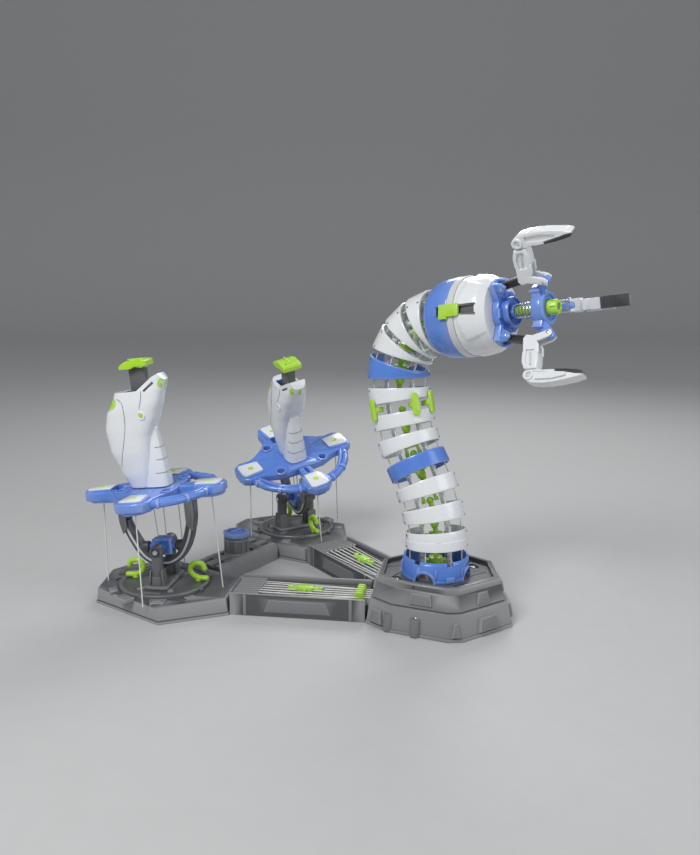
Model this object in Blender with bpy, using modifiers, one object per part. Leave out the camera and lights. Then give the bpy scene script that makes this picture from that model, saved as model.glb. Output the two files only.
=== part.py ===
"""Tendon-driven robot arm on a three-cornered base, steered by two joysticks.

A segmented arm with a three-fingered claw stands on a tower. Two beams run from the tower to two
joystick stations, and a shorter beam with a lock knob links the stations. Strings lead from each
joystick's four-lobed plate through a beam and up the arm.

Sizes below are in millimetres and degrees; MM turns them into metres when a mesh is made.
"""

from math import asin, cos, pi, radians, sin, tan

import bmesh
import bpy
from mathutils import Matrix, Vector

MM = 0.001
GAP = 0.3

# Layout: the tower stands at TOWER_AT, and both stations are BEAM_SPAN away from it.
TOWER_AT = (90.0, -89.1)
BEAM_SPAN = 270
LEFT_BEARING = 171.5
REAR_BEARING = 123

# Base
PLATE_HEIGHT = 17
DECK_HEIGHT = 21
DECK_RADIUS = 45
PLATE_OUTLINE = [(-66, -18), (15, -63), (74, -30), (74, 30), (-8, 72), (-60, 54), (-73, 34)]
PLATE_BEAM_FACE = 74
LINK_FACE = 62
BEAM_WIDTH = 56
BEAM_HEIGHT = 22
BEAM_FLOOR = 15
BEAM_WALL = 4
LINK_WIDTH = 40
LINK_HEIGHT = 19
KNOB_RADIUS = 14
BARREL_TOP = 37
KNOB_TOP = 43

# Tower
TOWER_OUTLINE = [(70, -28), (70, 28), (38, 60), (-10.6, 69.1), (-58.8, 37.8), (-67.2, -19), (-48, -40),
                 (6, -64), (20, -63)]
TOWER_BOSSES = [(-46, -36), (-22.5, -49), (51, 40), (23.5, 61)]
TOWER_FLAT = 64
SKIRT_TOP = 25
TOWER_TOP = 47
TOWER_DECK = 43
COLLAR_RADIUS = 32
COLLAR_TOP = 62.4

# Joystick, measured from its pivot
PIVOT_HEIGHT = 57
POST_Y = 18.6
POST_RADIUS = 5.6
PIN_RADIUS = 2.5
LOBE_REACH = 56
SWASH_LOW = 48
SWASH_TOP = 62
GRIP_HALF_WIDTH = 17
GRIP_OUTLINE = [(-24, 62.6), (17, 62.6), (16, 110), (13, 123), (26, 165), (20, 172), (-1.5, 157),
                (-27, 156), (-30, 147), (-38, 136), (-41.5, 121), (-40, 99), (-32, 80)]
PLUNGER_TOP = 178
PLUNGER_LENGTH = 46
LEFT_LEAN = (-5.5, 0)
REAR_LEAN = (20, 13)

# Arm: ring centres climb from ARM_START; each step is the distance to the next centre, each lean
# and heading give the ring's axis as its angle from vertical and the compass direction it leans to.
ARM_START = 78
RING_RADIUS = 29.5
RING_WALL = 2.2
RING_OPENING = 60
SPINE_HALF = 8.5
BALL_RADIUS = 3.4
EAR_GAP = 4.3
ARM_RINGS = [
    # name, colour, height, step to next, lean, heading, wedge share
    ("ring_01", "white", 16.0, 23.7, 7.0, 110, 0.5),
    ("ring_02", "white", 14.0, 23.8, 17.5, 128, 0.5),
    ("ring_03", "white", 14.0, 23.3, 24.5, 136, 0.5),
    ("ring_04", "blue", 15.0, 23.8, 32.0, 138, 0.5),
    ("ring_05", "white", 14.0, 22.6, 24.5, 136, 0.5),
    ("ring_06", "white", 14.0, 24.4, 14.0, 130, 0.5),
    ("ring_07", "white", 14.0, 22.8, 14.0, 130, 1.0),
    ("ring_08", "blue", 15.0, 21.6, 5.5, 15, 1.0),
    ("ring_09", "white", 12.5, 17.9, 26.0, -20, 1.0),
    ("ring_10", "white", 12.5, 19.2, 46.0, -26, 1.0),
    ("ring_11", "white", 12.5, 12.2, 67.0, -33, 1.0),
]
RIGID_PAIR = 5  # the gap above ring_06 is held by the clips, so it has no hinge
HEAD_LEAN = 82
HEAD_HEADING = -40
CLIP_BEARINGS = (-152, -68, -28)

# Head and claw, measured along the head's axis from its rear plane
HEAD_SEAM = 28
HEAD_FRONT = 64
HEAD_RADIUS = 36.5
TAB_BEARING = 169
TAB_SLOT = (18, 56)
TAB_SPAN = (22, 42)
HUB_PIVOT = (26, 75)
ROOT_PIVOT = (30, 96)
SPIDER_PIVOT = (26.5, 115)
SPIDER_LOW = 99
SPIDER_TOP = 110
NUT_TOP = 118
SPINDLE_RADIUS = 4
FINGER_TIP = (66, 152)
LINK_HALF = 2.5
CHEEK_LOW = 3.0
CHEEK_HIGH = 5.5

COLOURS = {
    # name: red, green, blue, roughness
    "grey": (0.20, 0.20, 0.21, 0.45),
    "dark": (0.07, 0.07, 0.08, 0.45),
    "blue": (0.10, 0.22, 0.72, 0.35),
    "green": (0.35, 0.72, 0.04, 0.40),
    "white": (0.78, 0.79, 0.80, 0.30),
}


def clear_scene():
    for obj in list(bpy.data.objects):
        bpy.data.objects.remove(obj, do_unlink=True)


def new_collection(name):
    collection = bpy.data.collections.new(name)
    bpy.context.scene.collection.children.link(collection)
    return collection


def material(name):
    found = bpy.data.materials.get(name)
    if found:
        return found
    red, green, blue, roughness = COLOURS[name]
    made = bpy.data.materials.new(name)
    made.use_nodes = True
    shader = made.node_tree.nodes["Principled BSDF"]
    shader.inputs["Base Color"].default_value = (red, green, blue, 1)
    shader.inputs["Roughness"].default_value = roughness
    shader.inputs["Metallic"].default_value = 0
    return made


def piece(bm, place=None):
    """A bench piece: the bmesh's shape in millimetres, kept only until it is joined into a part."""
    if place is not None:
        bm.transform(place)
    bm.normal_update()
    bmesh.ops.recalc_face_normals(bm, faces=bm.faces)
    mesh = bpy.data.meshes.new("bench")
    bm.to_mesh(mesh)
    bm.free()
    obj = bpy.data.objects.new("bench", mesh)
    bench.objects.link(obj)
    return obj


def block(size, at=(0, 0, 0), turn=None):
    bm = bmesh.new()
    bmesh.ops.create_cube(bm, size=1)
    place = Matrix.Translation(at) @ (turn or Matrix()) @ Matrix.Diagonal((*size, 1))
    return piece(bm, place)


def rod(radius, start, end, sides=20, end_radius=None):
    """A cylinder or cone between two points."""
    start = Vector(start)
    along = Vector(end) - start
    turn = along.to_track_quat("Z", "Y").to_matrix().to_4x4()
    bm = bmesh.new()
    bmesh.ops.create_cone(bm, cap_ends=True, segments=sides, radius1=radius,
                          radius2=radius if end_radius is None else end_radius, depth=along.length)
    return piece(bm, Matrix.Translation(start + along / 2) @ turn)


def ball(radius, at):
    bm = bmesh.new()
    bmesh.ops.create_uvsphere(bm, u_segments=10, v_segments=6, radius=radius)
    return piece(bm, Matrix.Translation(at))


def slab(outline, low, high, top_scale=1.0, place=None, shape=None):
    """An outline extruded from low to high, with its top scaled, or its points moved by shape."""
    bm = bmesh.new()
    face = bm.faces.new([bm.verts.new((x, y, low)) for x, y in outline])
    raised = bmesh.ops.extrude_face_region(bm, geom=[face])["geom"]
    for vert in (item for item in raised if isinstance(item, bmesh.types.BMVert)):
        vert.co = Vector((vert.co.x * top_scale, vert.co.y * top_scale, high))
    for vert in bm.verts:
        if shape:
            vert.co.z = shape(vert.co)
    return piece(bm, place)


def turned(profile, sides=28):
    """A closed profile of (radius, height) points, turned about Z by a Screw modifier."""
    mesh = bpy.data.meshes.new("profile")
    points = [(radius, 0, height) for radius, height in profile]
    edges = [(i, (i + 1) % len(points)) for i in range(len(points))]
    mesh.from_pydata(points, edges, [])
    obj = bpy.data.objects.new("bench", mesh)
    bench.objects.link(obj)
    screw = obj.modifiers.new("turn", "SCREW")
    screw.steps = screw.render_steps = sides
    screw.use_merge_vertices = True
    screw.merge_threshold = 0.0001
    return baked(obj)


def tube(points, radius, sides_half=1):
    """A round bar through the points, as a curve with a bevel, made into a mesh with welded caps."""
    curve = bpy.data.curves.new("bar", "CURVE")
    curve.dimensions = "3D"
    curve.bevel_depth = radius
    curve.bevel_resolution = sides_half
    curve.use_fill_caps = True
    spline = curve.splines.new("POLY")
    spline.points.add(len(points) - 1)
    for point, place in zip(spline.points, points):
        point.co = (*place, 1)
    obj = bpy.data.objects.new("bench", curve)
    bench.objects.link(obj)
    return baked(obj)


def baked(obj):
    """The object with its modifiers or bevel turned into a plain closed mesh."""
    graph = bpy.context.evaluated_depsgraph_get()
    bm = bmesh.new()
    bm.from_mesh(obj.evaluated_get(graph).to_mesh())
    bpy.data.objects.remove(obj, do_unlink=True)
    bmesh.ops.remove_doubles(bm, verts=bm.verts, dist=0.0001)
    return piece(bm)


def smooth_path(points, steps=5):
    """A Catmull-Rom curve through the points."""
    points = [Vector(point) for point in points]
    ends = [points[0] * 2 - points[1], *points, points[-1] * 2 - points[-2]]
    path = [points[0]]
    for a, b, c, d in zip(ends, ends[1:], ends[2:], ends[3:]):
        for step in range(1, steps + 1):
            t = step / steps
            path.append(0.5 * (2 * b + (c - a) * t + (2 * a - 5 * b + 4 * c - d) * t * t
                               + (3 * b - a - 3 * c + d) * t ** 3))
    return path


def arc(radius, start, end, steps, centre=(0, 0)):
    """Points along an arc, with angles in degrees."""
    angles = [radians(start + (end - start) * i / steps) for i in range(steps + 1)]
    return [(centre[0] + radius * cos(a), centre[1] + radius * sin(a)) for a in angles]


def rounded_end_bar(start, end, radius, steps=4):
    """The outline of a flat link: two round ends joined by straight sides."""
    along = Vector(end) - Vector(start)
    facing = along.angle_signed(Vector((1, 0))) * 180 / pi
    return (arc(radius, facing - 90, facing + 90, steps, end)
            + arc(radius, facing + 90, facing + 270, steps, start))


def octagon(radius):
    return arc(radius / cos(pi / 8), 22.5, 337.5, 7)


def boolean(obj, operation, others):
    group = bpy.data.collections.new("operands")
    for other in others:
        group.objects.link(other)
    modifier = obj.modifiers.new(operation.lower(), "BOOLEAN")
    modifier.operation = operation
    modifier.operand_type = "COLLECTION"
    modifier.collection = group


def assemble(name, colour, frame, parts, cuts=(), bevel=0.0):
    """Joins the bench pieces into one solid, cuts it, and sets it in the object at its frame."""
    body = parts[0]
    if len(parts) > 1:
        boolean(body, "UNION", parts[1:])
    if cuts:
        boolean(body, "DIFFERENCE", cuts)
    if bevel:
        edge = body.modifiers.new("edge", "BEVEL")
        edge.width = bevel
        edge.segments = 1
        edge.limit_method = "ANGLE"
        edge.angle_limit = radians(40)
    graph = bpy.context.evaluated_depsgraph_get()
    mesh = bpy.data.meshes.new_from_object(body.evaluated_get(graph))
    for modifier in body.modifiers:
        if modifier.type == "BOOLEAN":
            bpy.data.collections.remove(modifier.collection)
    for used in [*parts, *cuts]:
        bpy.data.objects.remove(used, do_unlink=True)
    mesh.name = name
    mesh.transform(Matrix.Scale(MM, 4))
    mesh.shade_smooth()
    mesh.set_sharp_from_angle(angle=radians(35))
    mesh.materials.clear()
    mesh.materials.append(material(colour))
    obj = bpy.data.objects.new(name, mesh)
    robot.objects.link(obj)
    obj.matrix_world = in_metres(frame)
    return obj


def in_metres(frame):
    placed = frame.copy()
    placed.translation = frame.translation * MM
    return placed


def joint(name, point, axis):
    """An empty on a joint's axis, its Z along the axis."""
    empty = bpy.data.objects.new("joint_" + name, None)
    empty.empty_display_size = 0.01
    robot.objects.link(empty)
    turn = Vector(axis).to_track_quat("Z", "Y").to_matrix().to_4x4()
    empty.matrix_world = Matrix.Translation(Vector(point) * MM) @ turn


def turn_x(angle):
    return Matrix.Rotation(radians(angle), 4, "X")


def turn_y(angle):
    return Matrix.Rotation(radians(angle), 4, "Y")


def turn_z(angle):
    return Matrix.Rotation(radians(angle), 4, "Z")


UPRIGHT = Matrix(((1, 0, 0, 0), (0, 0, -1, 0), (0, 1, 0, 0), (0, 0, 0, 1)))  # outline x, y to x, z
ALONG = Matrix(((0, 0, 1, 0), (1, 0, 0, 0), (0, 1, 0, 0), (0, 0, 0, 1)))  # outline x, y to y, z


def side_slab(outline, half_width, place=None):
    """An x, z outline extruded to both sides along Y."""
    return slab(outline, -half_width, half_width, place=(place or Matrix()) @ UPRIGHT)


def polar(radius, bearing):
    return (radius * cos(radians(bearing)), radius * sin(radians(bearing)))


def station_frame(bearing):
    """Ground frame of a station: its X points to the tower."""
    x, y = polar(BEAM_SPAN, bearing)
    return Matrix.Translation((TOWER_AT[0] + x, TOWER_AT[1] + y, 0)) @ turn_z(bearing + 180)


def make_tower():
    frame = Matrix.Translation((*TOWER_AT, 0))
    bosses = [rod(5, (x, y, 0), (x, y, 17), 12) for x, y in TOWER_BOSSES]
    panels = [block((4, 34, 15), (67.5, 3, 8)), block((36, 4, 15), (42, -48, 8), turn_z(31.5))]
    assemble("tower_skirt", "grey", frame, [slab(TOWER_OUTLINE, 0, SKIRT_TOP, 0.93), *bosses, *panels])
    rim = [(x * 0.9, y * 0.9) for x, y in TOWER_OUTLINE]
    recess = [(x * 0.745, y * 0.745) for x, y in TOWER_OUTLINE]
    screws = [rod(4, (*polar(42, bearing), TOWER_DECK - 1), (*polar(42, bearing), TOWER_DECK + 1.2), 14)
              for bearing in (-168, 36)]
    assemble("tower_top", "grey", frame,
             [slab(rim, SKIRT_TOP + GAP, TOWER_TOP, 0.9), *screws],
             [slab(recess, TOWER_DECK, TOWER_TOP + 5)])


def make_collar():
    frame = Matrix.Translation((*TOWER_AT, 0))
    low = TOWER_DECK + GAP
    wall = turned([(COLLAR_RADIUS, low), (COLLAR_RADIUS - 0.8, COLLAR_TOP), (COLLAR_RADIUS - 3.4, COLLAR_TOP),
                   (COLLAR_RADIUS - 3.4, low)])
    floor = rod(COLLAR_RADIUS - 2, (0, 0, low), (0, 0, low + 3), 28)
    spine = block((2 * SPINE_HALF, 2 * SPINE_HALF, 16), (0, 0, low + 9))
    hinge = arm_hinges[0]
    top = frame.inverted() @ hinge
    neck = rod(2.2, (0, 0, low + 15), top, 8)
    arches = [rod(9.5, (*polar(20, b), low - 1), (*polar(40, b), low - 1), 16) for b in (-115, -25, 65, 155)]
    notches = [block((12, 7, 9), (*polar(COLLAR_RADIUS, b), COLLAR_TOP), turn_z(b)) for b in range(-70, 290, 60)]
    shapes = [wall, floor, spine, neck, ball(BALL_RADIUS, top)]
    assemble("arm_collar", "blue", frame, shapes, [*arches, *notches])


def arm_frames():
    """The frame of each ring, and the point between each ring and what is below it."""
    frames = []
    centre = Vector((*TOWER_AT, ARM_START))
    axis = Vector((0, 0, 1))
    hinges = [Vector((*TOWER_AT, (COLLAR_TOP + ARM_START - ARM_RINGS[0][2] / 2) / 2))]
    tilts = [(lean, heading) for _, _, _, _, lean, heading, _ in ARM_RINGS] + [(HEAD_LEAN, HEAD_HEADING)]
    steps = [row[3] for row in ARM_RINGS]
    for index, (lean, heading) in enumerate(tilts):
        turn = turn_z(heading) @ turn_y(lean) @ turn_z(-heading)
        new_axis = (turn @ Vector((0, 0, 1))).normalized()
        if index:
            below = centre
            centre = centre + steps[index - 1] * (axis + new_axis).normalized()
            hinges.append((below + centre) / 2)
        axis = new_axis
        frames.append(Matrix.Translation(centre) @ turn)
    half = ARM_RINGS[-1][2] / 2
    gap = steps[-1] - half
    hinges[-1] = centre - axis * gap / 2
    return frames, hinges


def hinge_axis(index):
    """The hinge below part number index turns about that part's own X or Y, in turns."""
    frame = ring_frames[index].to_3x3()
    return frame.col[index % 2].normalized()


def fork(frame, hinge, index, block_low):
    """Two ears on the upper part's underside that straddle the ball of the part below."""
    at = frame.inverted() @ hinge
    low = at.z - 1.5
    ears = []
    for side in (-1, 1):
        offset = side * (EAR_GAP + 1.5)
        if index % 2 == 0:
            size, x, y = (3, 8, block_low - low + 1), at.x + offset, at.y
        else:
            size, x, y = (8, 3, block_low - low + 1), at.x, at.y + offset
        ears.append(block(size, (x, y, (block_low + low + 1) / 2)))
    return ears


def make_ring(index):
    name, colour, height, _, _, _, share = ARM_RINGS[index]
    frame = ring_frames[index]
    down_share = ARM_RINGS[index - 1][6] if index else share

    def lean_of(other):
        axis = frame.to_3x3().inverted() @ other.to_3x3().col[2]
        return Vector((axis.x, axis.y)), asin(min(1, Vector((axis.x, axis.y)).length))

    above, above_angle = lean_of(ring_frames[index + 1])
    below, below_angle = lean_of(ring_frames[index - 1] if index else Matrix())
    if index == RIGID_PAIR:
        above_angle = 0
    if index == RIGID_PAIR + 1:
        below_angle = 0

    def wedge(point):
        flat = Vector((point.x, point.y))
        if point.z > 0:
            toward = above.normalized() if above.length else above
            return height / 2 - share * tan(above_angle / 2) * flat.dot(toward)
        toward = -below.normalized() if below.length else below
        return -height / 2 + down_share * tan(below_angle / 2) * flat.dot(toward)

    start, end = 90 + RING_OPENING / 2, 450 - RING_OPENING / 2
    band = arc(RING_RADIUS, start, end, 22) + arc(RING_RADIUS - RING_WALL, end, start, 22)
    wall = slab(band, -1, 1, shape=wedge)
    half = 5.5 if height > 13 else 4.6
    spine = block((2 * SPINE_HALF, 2 * SPINE_HALF, 2 * half))
    spoke = block((2 * RING_RADIUS - 2, 6, 2.4))
    brace = block((6, RING_RADIUS - 1, 2.4), (0, -RING_RADIUS / 2, 0))
    parts = [wall, spine, spoke, brace]
    if index != RIGID_PAIR:
        top = frame.inverted() @ arm_hinges[index + 1]
        parts += [rod(2.2, (0, 0, half - 1), top, 8), ball(BALL_RADIUS, top)]
        arm_joint(index + 1)
    else:
        parts.append(block((7, 7, 7), (0, 0, half + 2.5)))
    if index != RIGID_PAIR + 1:
        parts += fork(frame, arm_hinges[index], index, -half)
    assemble(name, colour, frame, parts)


def arm_joint(index):
    """Hinge number index sits below ring number index; the last one is below the head."""
    joint("arm_%02d" % index, arm_hinges[index], hinge_axis(index))


def make_clips():
    lower, upper = ring_frames[RIGID_PAIR], ring_frames[RIGID_PAIR + 1]
    middle = lower.copy()
    middle.translation = (lower.translation + upper.translation) / 2
    for number, bearing in enumerate(CLIP_BEARINGS, 1):
        radius = RING_RADIUS + GAP
        bar = block((3, 7.5, 22), (radius + 1.5 + GAP, 0, 0))
        tongue = block((9, 7.5, 5.5), (radius - 2, 0, 0))
        assemble("ring_clip_%d" % number, "green", middle @ turn_z(bearing), [bar, tongue])


def make_head():
    frame = head_frame
    slot_middle = (TAB_SLOT[0] + TAB_SLOT[1]) / 2
    slot_length = TAB_SLOT[1] - TAB_SLOT[0]

    def placed_slot():
        cutter = block((12, 7, slot_length), (HEAD_RADIUS, 0, slot_middle))
        cutter.data.transform(turn_z(TAB_BEARING))
        return cutter

    band = turned([(30.5, 0), (35.5, 9), (HEAD_RADIUS, HEAD_SEAM), (34, HEAD_SEAM), (33, 10), (28, 0)])
    bulkhead = rod(31.2, (0, 0, 3), (0, 0, 6.5), 28)
    local = ring_frames[-1].copy()
    to_head = frame.inverted() @ local
    ears = fork(local, arm_hinges[-1], len(ARM_RINGS), 4)
    for ear in ears:
        ear.data.transform(to_head)
    assemble("head_band", "blue", frame, [band, bulkhead, *ears], [placed_slot()])
    dome = turned([(HEAD_RADIUS, HEAD_SEAM + GAP), (36, 44), (33, 55), (26, HEAD_FRONT - 1), (23, HEAD_FRONT),
                   (10, HEAD_FRONT), (10, HEAD_FRONT - 2.5), (22, HEAD_FRONT - 2.5), (24.5, HEAD_FRONT - 4),
                   (31, 53), (33.6, 43), (34, HEAD_SEAM + GAP)])
    assemble("head_dome", "white", frame, [dome], [placed_slot()])
    low, high = TAB_SPAN
    stem = block((7, 4, high - low - 4), (HEAD_RADIUS - 2, 0, (low + high) / 2))
    pad = block((2.6, 9.5, high - low), (HEAD_RADIUS + 1.7, 0, (low + high) / 2))
    assemble("head_tab", "green", frame @ turn_z(TAB_BEARING), [stem, pad])
    joint("head_tab_slide", frame.translation, frame.to_3x3().col[2])


def cheeks(outline, inner, outer):
    """The same r, z outline as two plates, on both sides of the claw's radial plane."""
    pair = []
    for side in (-1, 1):
        low, high = sorted((side * inner, side * outer))
        pair.append(slab(outline, low, high, place=UPRIGHT))
    return pair


def make_claw():
    frame = head_frame
    axis = frame.to_3x3().col[2]
    joint("wrist_turn", frame.translation, axis)
    joint("claw_slide", frame @ Vector((0, 0, SPIDER_LOW)), axis)
    low = HEAD_FRONT + GAP
    hub = [rod(17, (0, 0, low), (0, 0, 70), 24), rod(12.5, (0, 0, 69), (0, 0, 78), 20)]
    spider = [rod(14, (0, 0, SPIDER_LOW), (0, 0, SPIDER_TOP), 24),
              rod(6.5, (0, 0, SPIDER_TOP - 1), (0, 0, NUT_TOP), 12)]
    for bearing in (0, 120, 240):
        turn = turn_z(bearing)
        arm = [(10, low), (30, low), (31, 70), (HUB_PIVOT[0] + 4, HUB_PIVOT[1] + 1),
               (HUB_PIVOT[0] + 1, HUB_PIVOT[1] + 4), (HUB_PIVOT[0] - 3, HUB_PIVOT[1] + 3), (20, 70), (10, 70)]
        lobe = [block((22, 13, 70 - low), (18, 0, (70 + low) / 2)), *cheeks(arm, CHEEK_LOW, CHEEK_HIGH + 0.8)]
        bracket = [block((16, 11, 8), (14, 0, SPIDER_LOW + 5)),
                   slab(rounded_end_bar((15, SPIDER_LOW + 6), SPIDER_PIVOT, 4), -LINK_HALF, LINK_HALF,
                        place=UPRIGHT)]
        for each in [*lobe, *bracket]:
            each.data.transform(turn)
        hub += lobe
        spider += bracket
    assemble("claw_hub", "blue", frame, hub, [rod(SPINDLE_RADIUS + 0.6, (0, 0, 60), (0, 0, 80), 12)])
    assemble("claw_spider", "blue", frame, spider)
    assemble("claw_spindle", "green", frame, [rod(SPINDLE_RADIUS, (0, 0, 46), (0, 0, SPIDER_LOW - GAP), 12)])
    for letter, bearing in zip("abc", (0, 120, 240)):
        make_finger(letter, frame @ turn_z(bearing))


def make_finger(letter, frame):
    tangent = frame.to_3x3() @ Vector((0, 1, 0))
    joint("rocker_%s_swing" % letter, frame @ Vector((HUB_PIVOT[0], 0, HUB_PIVOT[1])), tangent)
    joint("finger_%s_swing" % letter, frame @ Vector((SPIDER_PIVOT[0], 0, SPIDER_PIVOT[1])), tangent)
    bar = rounded_end_bar(HUB_PIVOT, ROOT_PIVOT, 3.4)
    assemble("rocker_" + letter, "dark", frame, [slab(bar, -LINK_HALF, LINK_HALF, place=UPRIGHT)])
    foot = rounded_end_bar(ROOT_PIVOT, SPIDER_PIVOT, 3.6)
    rise = [(ROOT_PIVOT[0], 92.5), (43, 95), (45, 110), (ROOT_PIVOT[0] + 3, 107), (28, 98)]
    phalanx = [(38.5, 96), (44, 94.5), (59, 99), (59, 109.5), (44, 108), (38.5, 104)]
    parts = [*cheeks(foot, CHEEK_LOW, CHEEK_HIGH), *cheeks(rise, CHEEK_LOW, CHEEK_HIGH),
             slab(phalanx, -CHEEK_HIGH, CHEEK_HIGH, place=UPRIGHT)]
    assemble("finger_%s_root" % letter, "white", frame, parts)
    x, z = FINGER_TIP
    tip = [(59 + GAP, 98.5), (67, 99), (71, 106), (72, 122), (x + 3, 140), (x + 1, z), (x - 2, z),
           (62, 142), (60.5, 124), (59 + GAP, 112)]
    assemble("finger_%s_tip" % letter, "white", frame, [slab(tip, -5, 5, place=UPRIGHT)])


def make_plate(name, frame, side):
    outline = [(x, side * y) for x, y in PLATE_OUTLINE]
    deck = rod(DECK_RADIUS, (0, 0, PLATE_HEIGHT - 1), (0, 0, DECK_HEIGHT), 28, DECK_RADIUS - 1)
    dish = rod(DECK_RADIUS - 4, (0, 0, DECK_HEIGHT - 1.2), (0, 0, DECK_HEIGHT + 2), 28)
    assemble(name + "_plate", "grey", frame, [slab(outline, 0, PLATE_HEIGHT, 0.985), deck], [dish])


def make_post(name, frame):
    low = DECK_HEIGHT - 1.2 + GAP
    parts = [block((24, 54, 4), (0, 0, low + 2))]
    cuts = []
    for side in (-1, 1):
        y = side * POST_Y
        parts.append(rod(POST_RADIUS + 1, (0, y, low + 3), (0, y, PIVOT_HEIGHT), 14, POST_RADIUS))
        parts.append(rod(POST_RADIUS + 1.2, (0, y - 5, PIVOT_HEIGHT), (0, y + 5, PIVOT_HEIGHT), 16))
        cuts.append(rod(PIN_RADIUS + 0.4, (0, y - 9, PIVOT_HEIGHT), (0, y + 9, PIVOT_HEIGHT), 12))
    assemble(name + "_post", "grey", frame, parts, cuts)


def make_hooks(name, frame):
    """Two string hooks: each is a question-mark bar that stands in the deck."""
    low = DECK_HEIGHT - 1.2 + GAP + 2.6
    for letter, side in (("a", -1), ("b", 1)):
        route = [(40, low), (32, low + 0.6), (26, low + 5), (25, low + 11), (30, low + 15.5), (37, low + 14.5),
                 (39.5, low + 10)]
        path = smooth_path([(side * x, 6, z) for x, z in route], 3)
        assemble("%s_hook_%s" % (name, letter), "green", frame, [tube(path, 2.6)])


def swash_outline():
    """The deck from side lobe to side lobe, with the wide web to the back lobe."""
    half = [(24, 0), (24, 30), (16, 44), (15, 62), (6, 70), (-8, 70), (-15, 62), (-18, 44), (-32, 26),
            (-44, 16), (-62, 15), (-70, 7)]
    return half + [(x, -y) for x, y in reversed(half[1:])]


def make_swash(name, frame):
    deck = slab(swash_outline(), SWASH_LOW + 2, SWASH_TOP - 2)
    lobe = [(50, -15), (60, -15), (70, -7), (70, 7), (60, 15), (50, 15), (42, 8), (42, -8)]
    parts = [deck, slab(lobe, SWASH_LOW + 1, SWASH_TOP - 1),
             block((26, 12, 7), (34, 0, SWASH_TOP - 6))]
    for bearing in (90, 180, 270):
        x, y = polar(LOBE_REACH + 1, bearing)
        parts.append(slab([(x + px, y + py) for px, py in octagon(13)], SWASH_LOW, SWASH_TOP - 0.5))
    for side in (-1, 1):
        rail = smooth_path([(58, side * 10, SWASH_TOP - 7), (50, side * 30, SWASH_TOP - 8),
                            (32, side * 52, SWASH_TOP - 8), (8, side * 60, SWASH_TOP - 7)], 4)
        parts.append(tube(rail, 4.2))
    window = block((12, 20, 40), (-37, 0, SWASH_TOP))
    assemble(name + "_swash_plate", "blue", frame, parts, [window])


def make_yoke(name, frame):
    outer = [(-40, 49.5), (-39, 28), (-33, 8), (-23, -10), (-10, -19), (0, -20.5), (10, -19), (23, -10),
             (33, 8), (37, 28), (38, 49.5)]
    inner = [(29.5, 49.5), (28.5, 28), (23, 9), (15, -6), (7, -12), (0, -13), (-7, -12), (-15, -6), (-23, 9),
             (-30.5, 28), (-31.5, 49.5)]
    strap = side_slab(outer + inner, 4.6)
    ribs = [side_slab([(-40, 49.5), (-39.2, 28), (-37, 18), (-31, 22), (-31.5, 49.5)], 9),
            side_slab([(38, 49.5), (29.5, 49.5), (29, 22), (35, 18), (37, 28)], 9)]
    pins = rod(PIN_RADIUS + 0.4, (-40, 0, 0), (40, 0, 0), 12)
    assemble(name + "_yoke", "grey", frame, [strap, *ribs], [pins])


def make_grip(name, frame):
    shell = side_slab(GRIP_OUTLINE, GRIP_HALF_WIDTH)
    edge = shell.modifiers.new("edge", "BEVEL")
    edge.width = 5
    edge.segments = 2
    edge.limit_method = "ANGLE"
    edge.angle_limit = radians(60)
    shell = baked(shell)
    well = block((31, 20, 60), (-7.3, 0, 147.6))
    assemble(name + "_grip", "white", frame, [shell], [well])
    low = PLUNGER_TOP - PLUNGER_LENGTH
    assemble(name + "_plunger", "dark", frame,
             [block((16.5, 10, PLUNGER_LENGTH), (-1.8, 0, low + PLUNGER_LENGTH / 2))])
    cap = [(-17, PLUNGER_TOP + GAP), (10.4, PLUNGER_TOP + GAP), (10.8, 184), (9, 187), (-8, 186.5), (-17, 181)]
    assemble(name + "_thumb_cap", "green", frame, [side_slab(cap, 11)])
    joint(name + "_plunger_slide", frame @ Vector((0, 0, PLUNGER_TOP)), frame.to_3x3().col[2])


def make_station(name, bearing, lean, side):
    ground = station_frame(bearing)
    make_plate(name, ground, side)
    make_post(name, ground)
    make_hooks(name, ground)
    pivot = ground @ Matrix.Translation((0, 0, PIVOT_HEIGHT))
    forward, sideways = lean
    cross_frame = pivot @ turn_y(forward)
    stick = cross_frame @ turn_x(sideways)
    centre = pivot.translation
    joint(name + "_tilt_fore", centre, ground.to_3x3().col[1])
    joint(name + "_tilt_side", centre, cross_frame.to_3x3().col[0])
    assemble(name + "_cross", "blue", cross_frame,
             [block((20, 12, 16)), rod(PIN_RADIUS, (0, -24, 0), (0, 24, 0), 12),
              rod(PIN_RADIUS, (-27, 0, 0), (27, 0, 0), 12)])
    make_yoke(name, stick)
    swash = stick @ Matrix.Translation((0, 0, GAP + 1.2))
    make_swash(name, swash)
    make_grip(name, stick)


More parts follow.
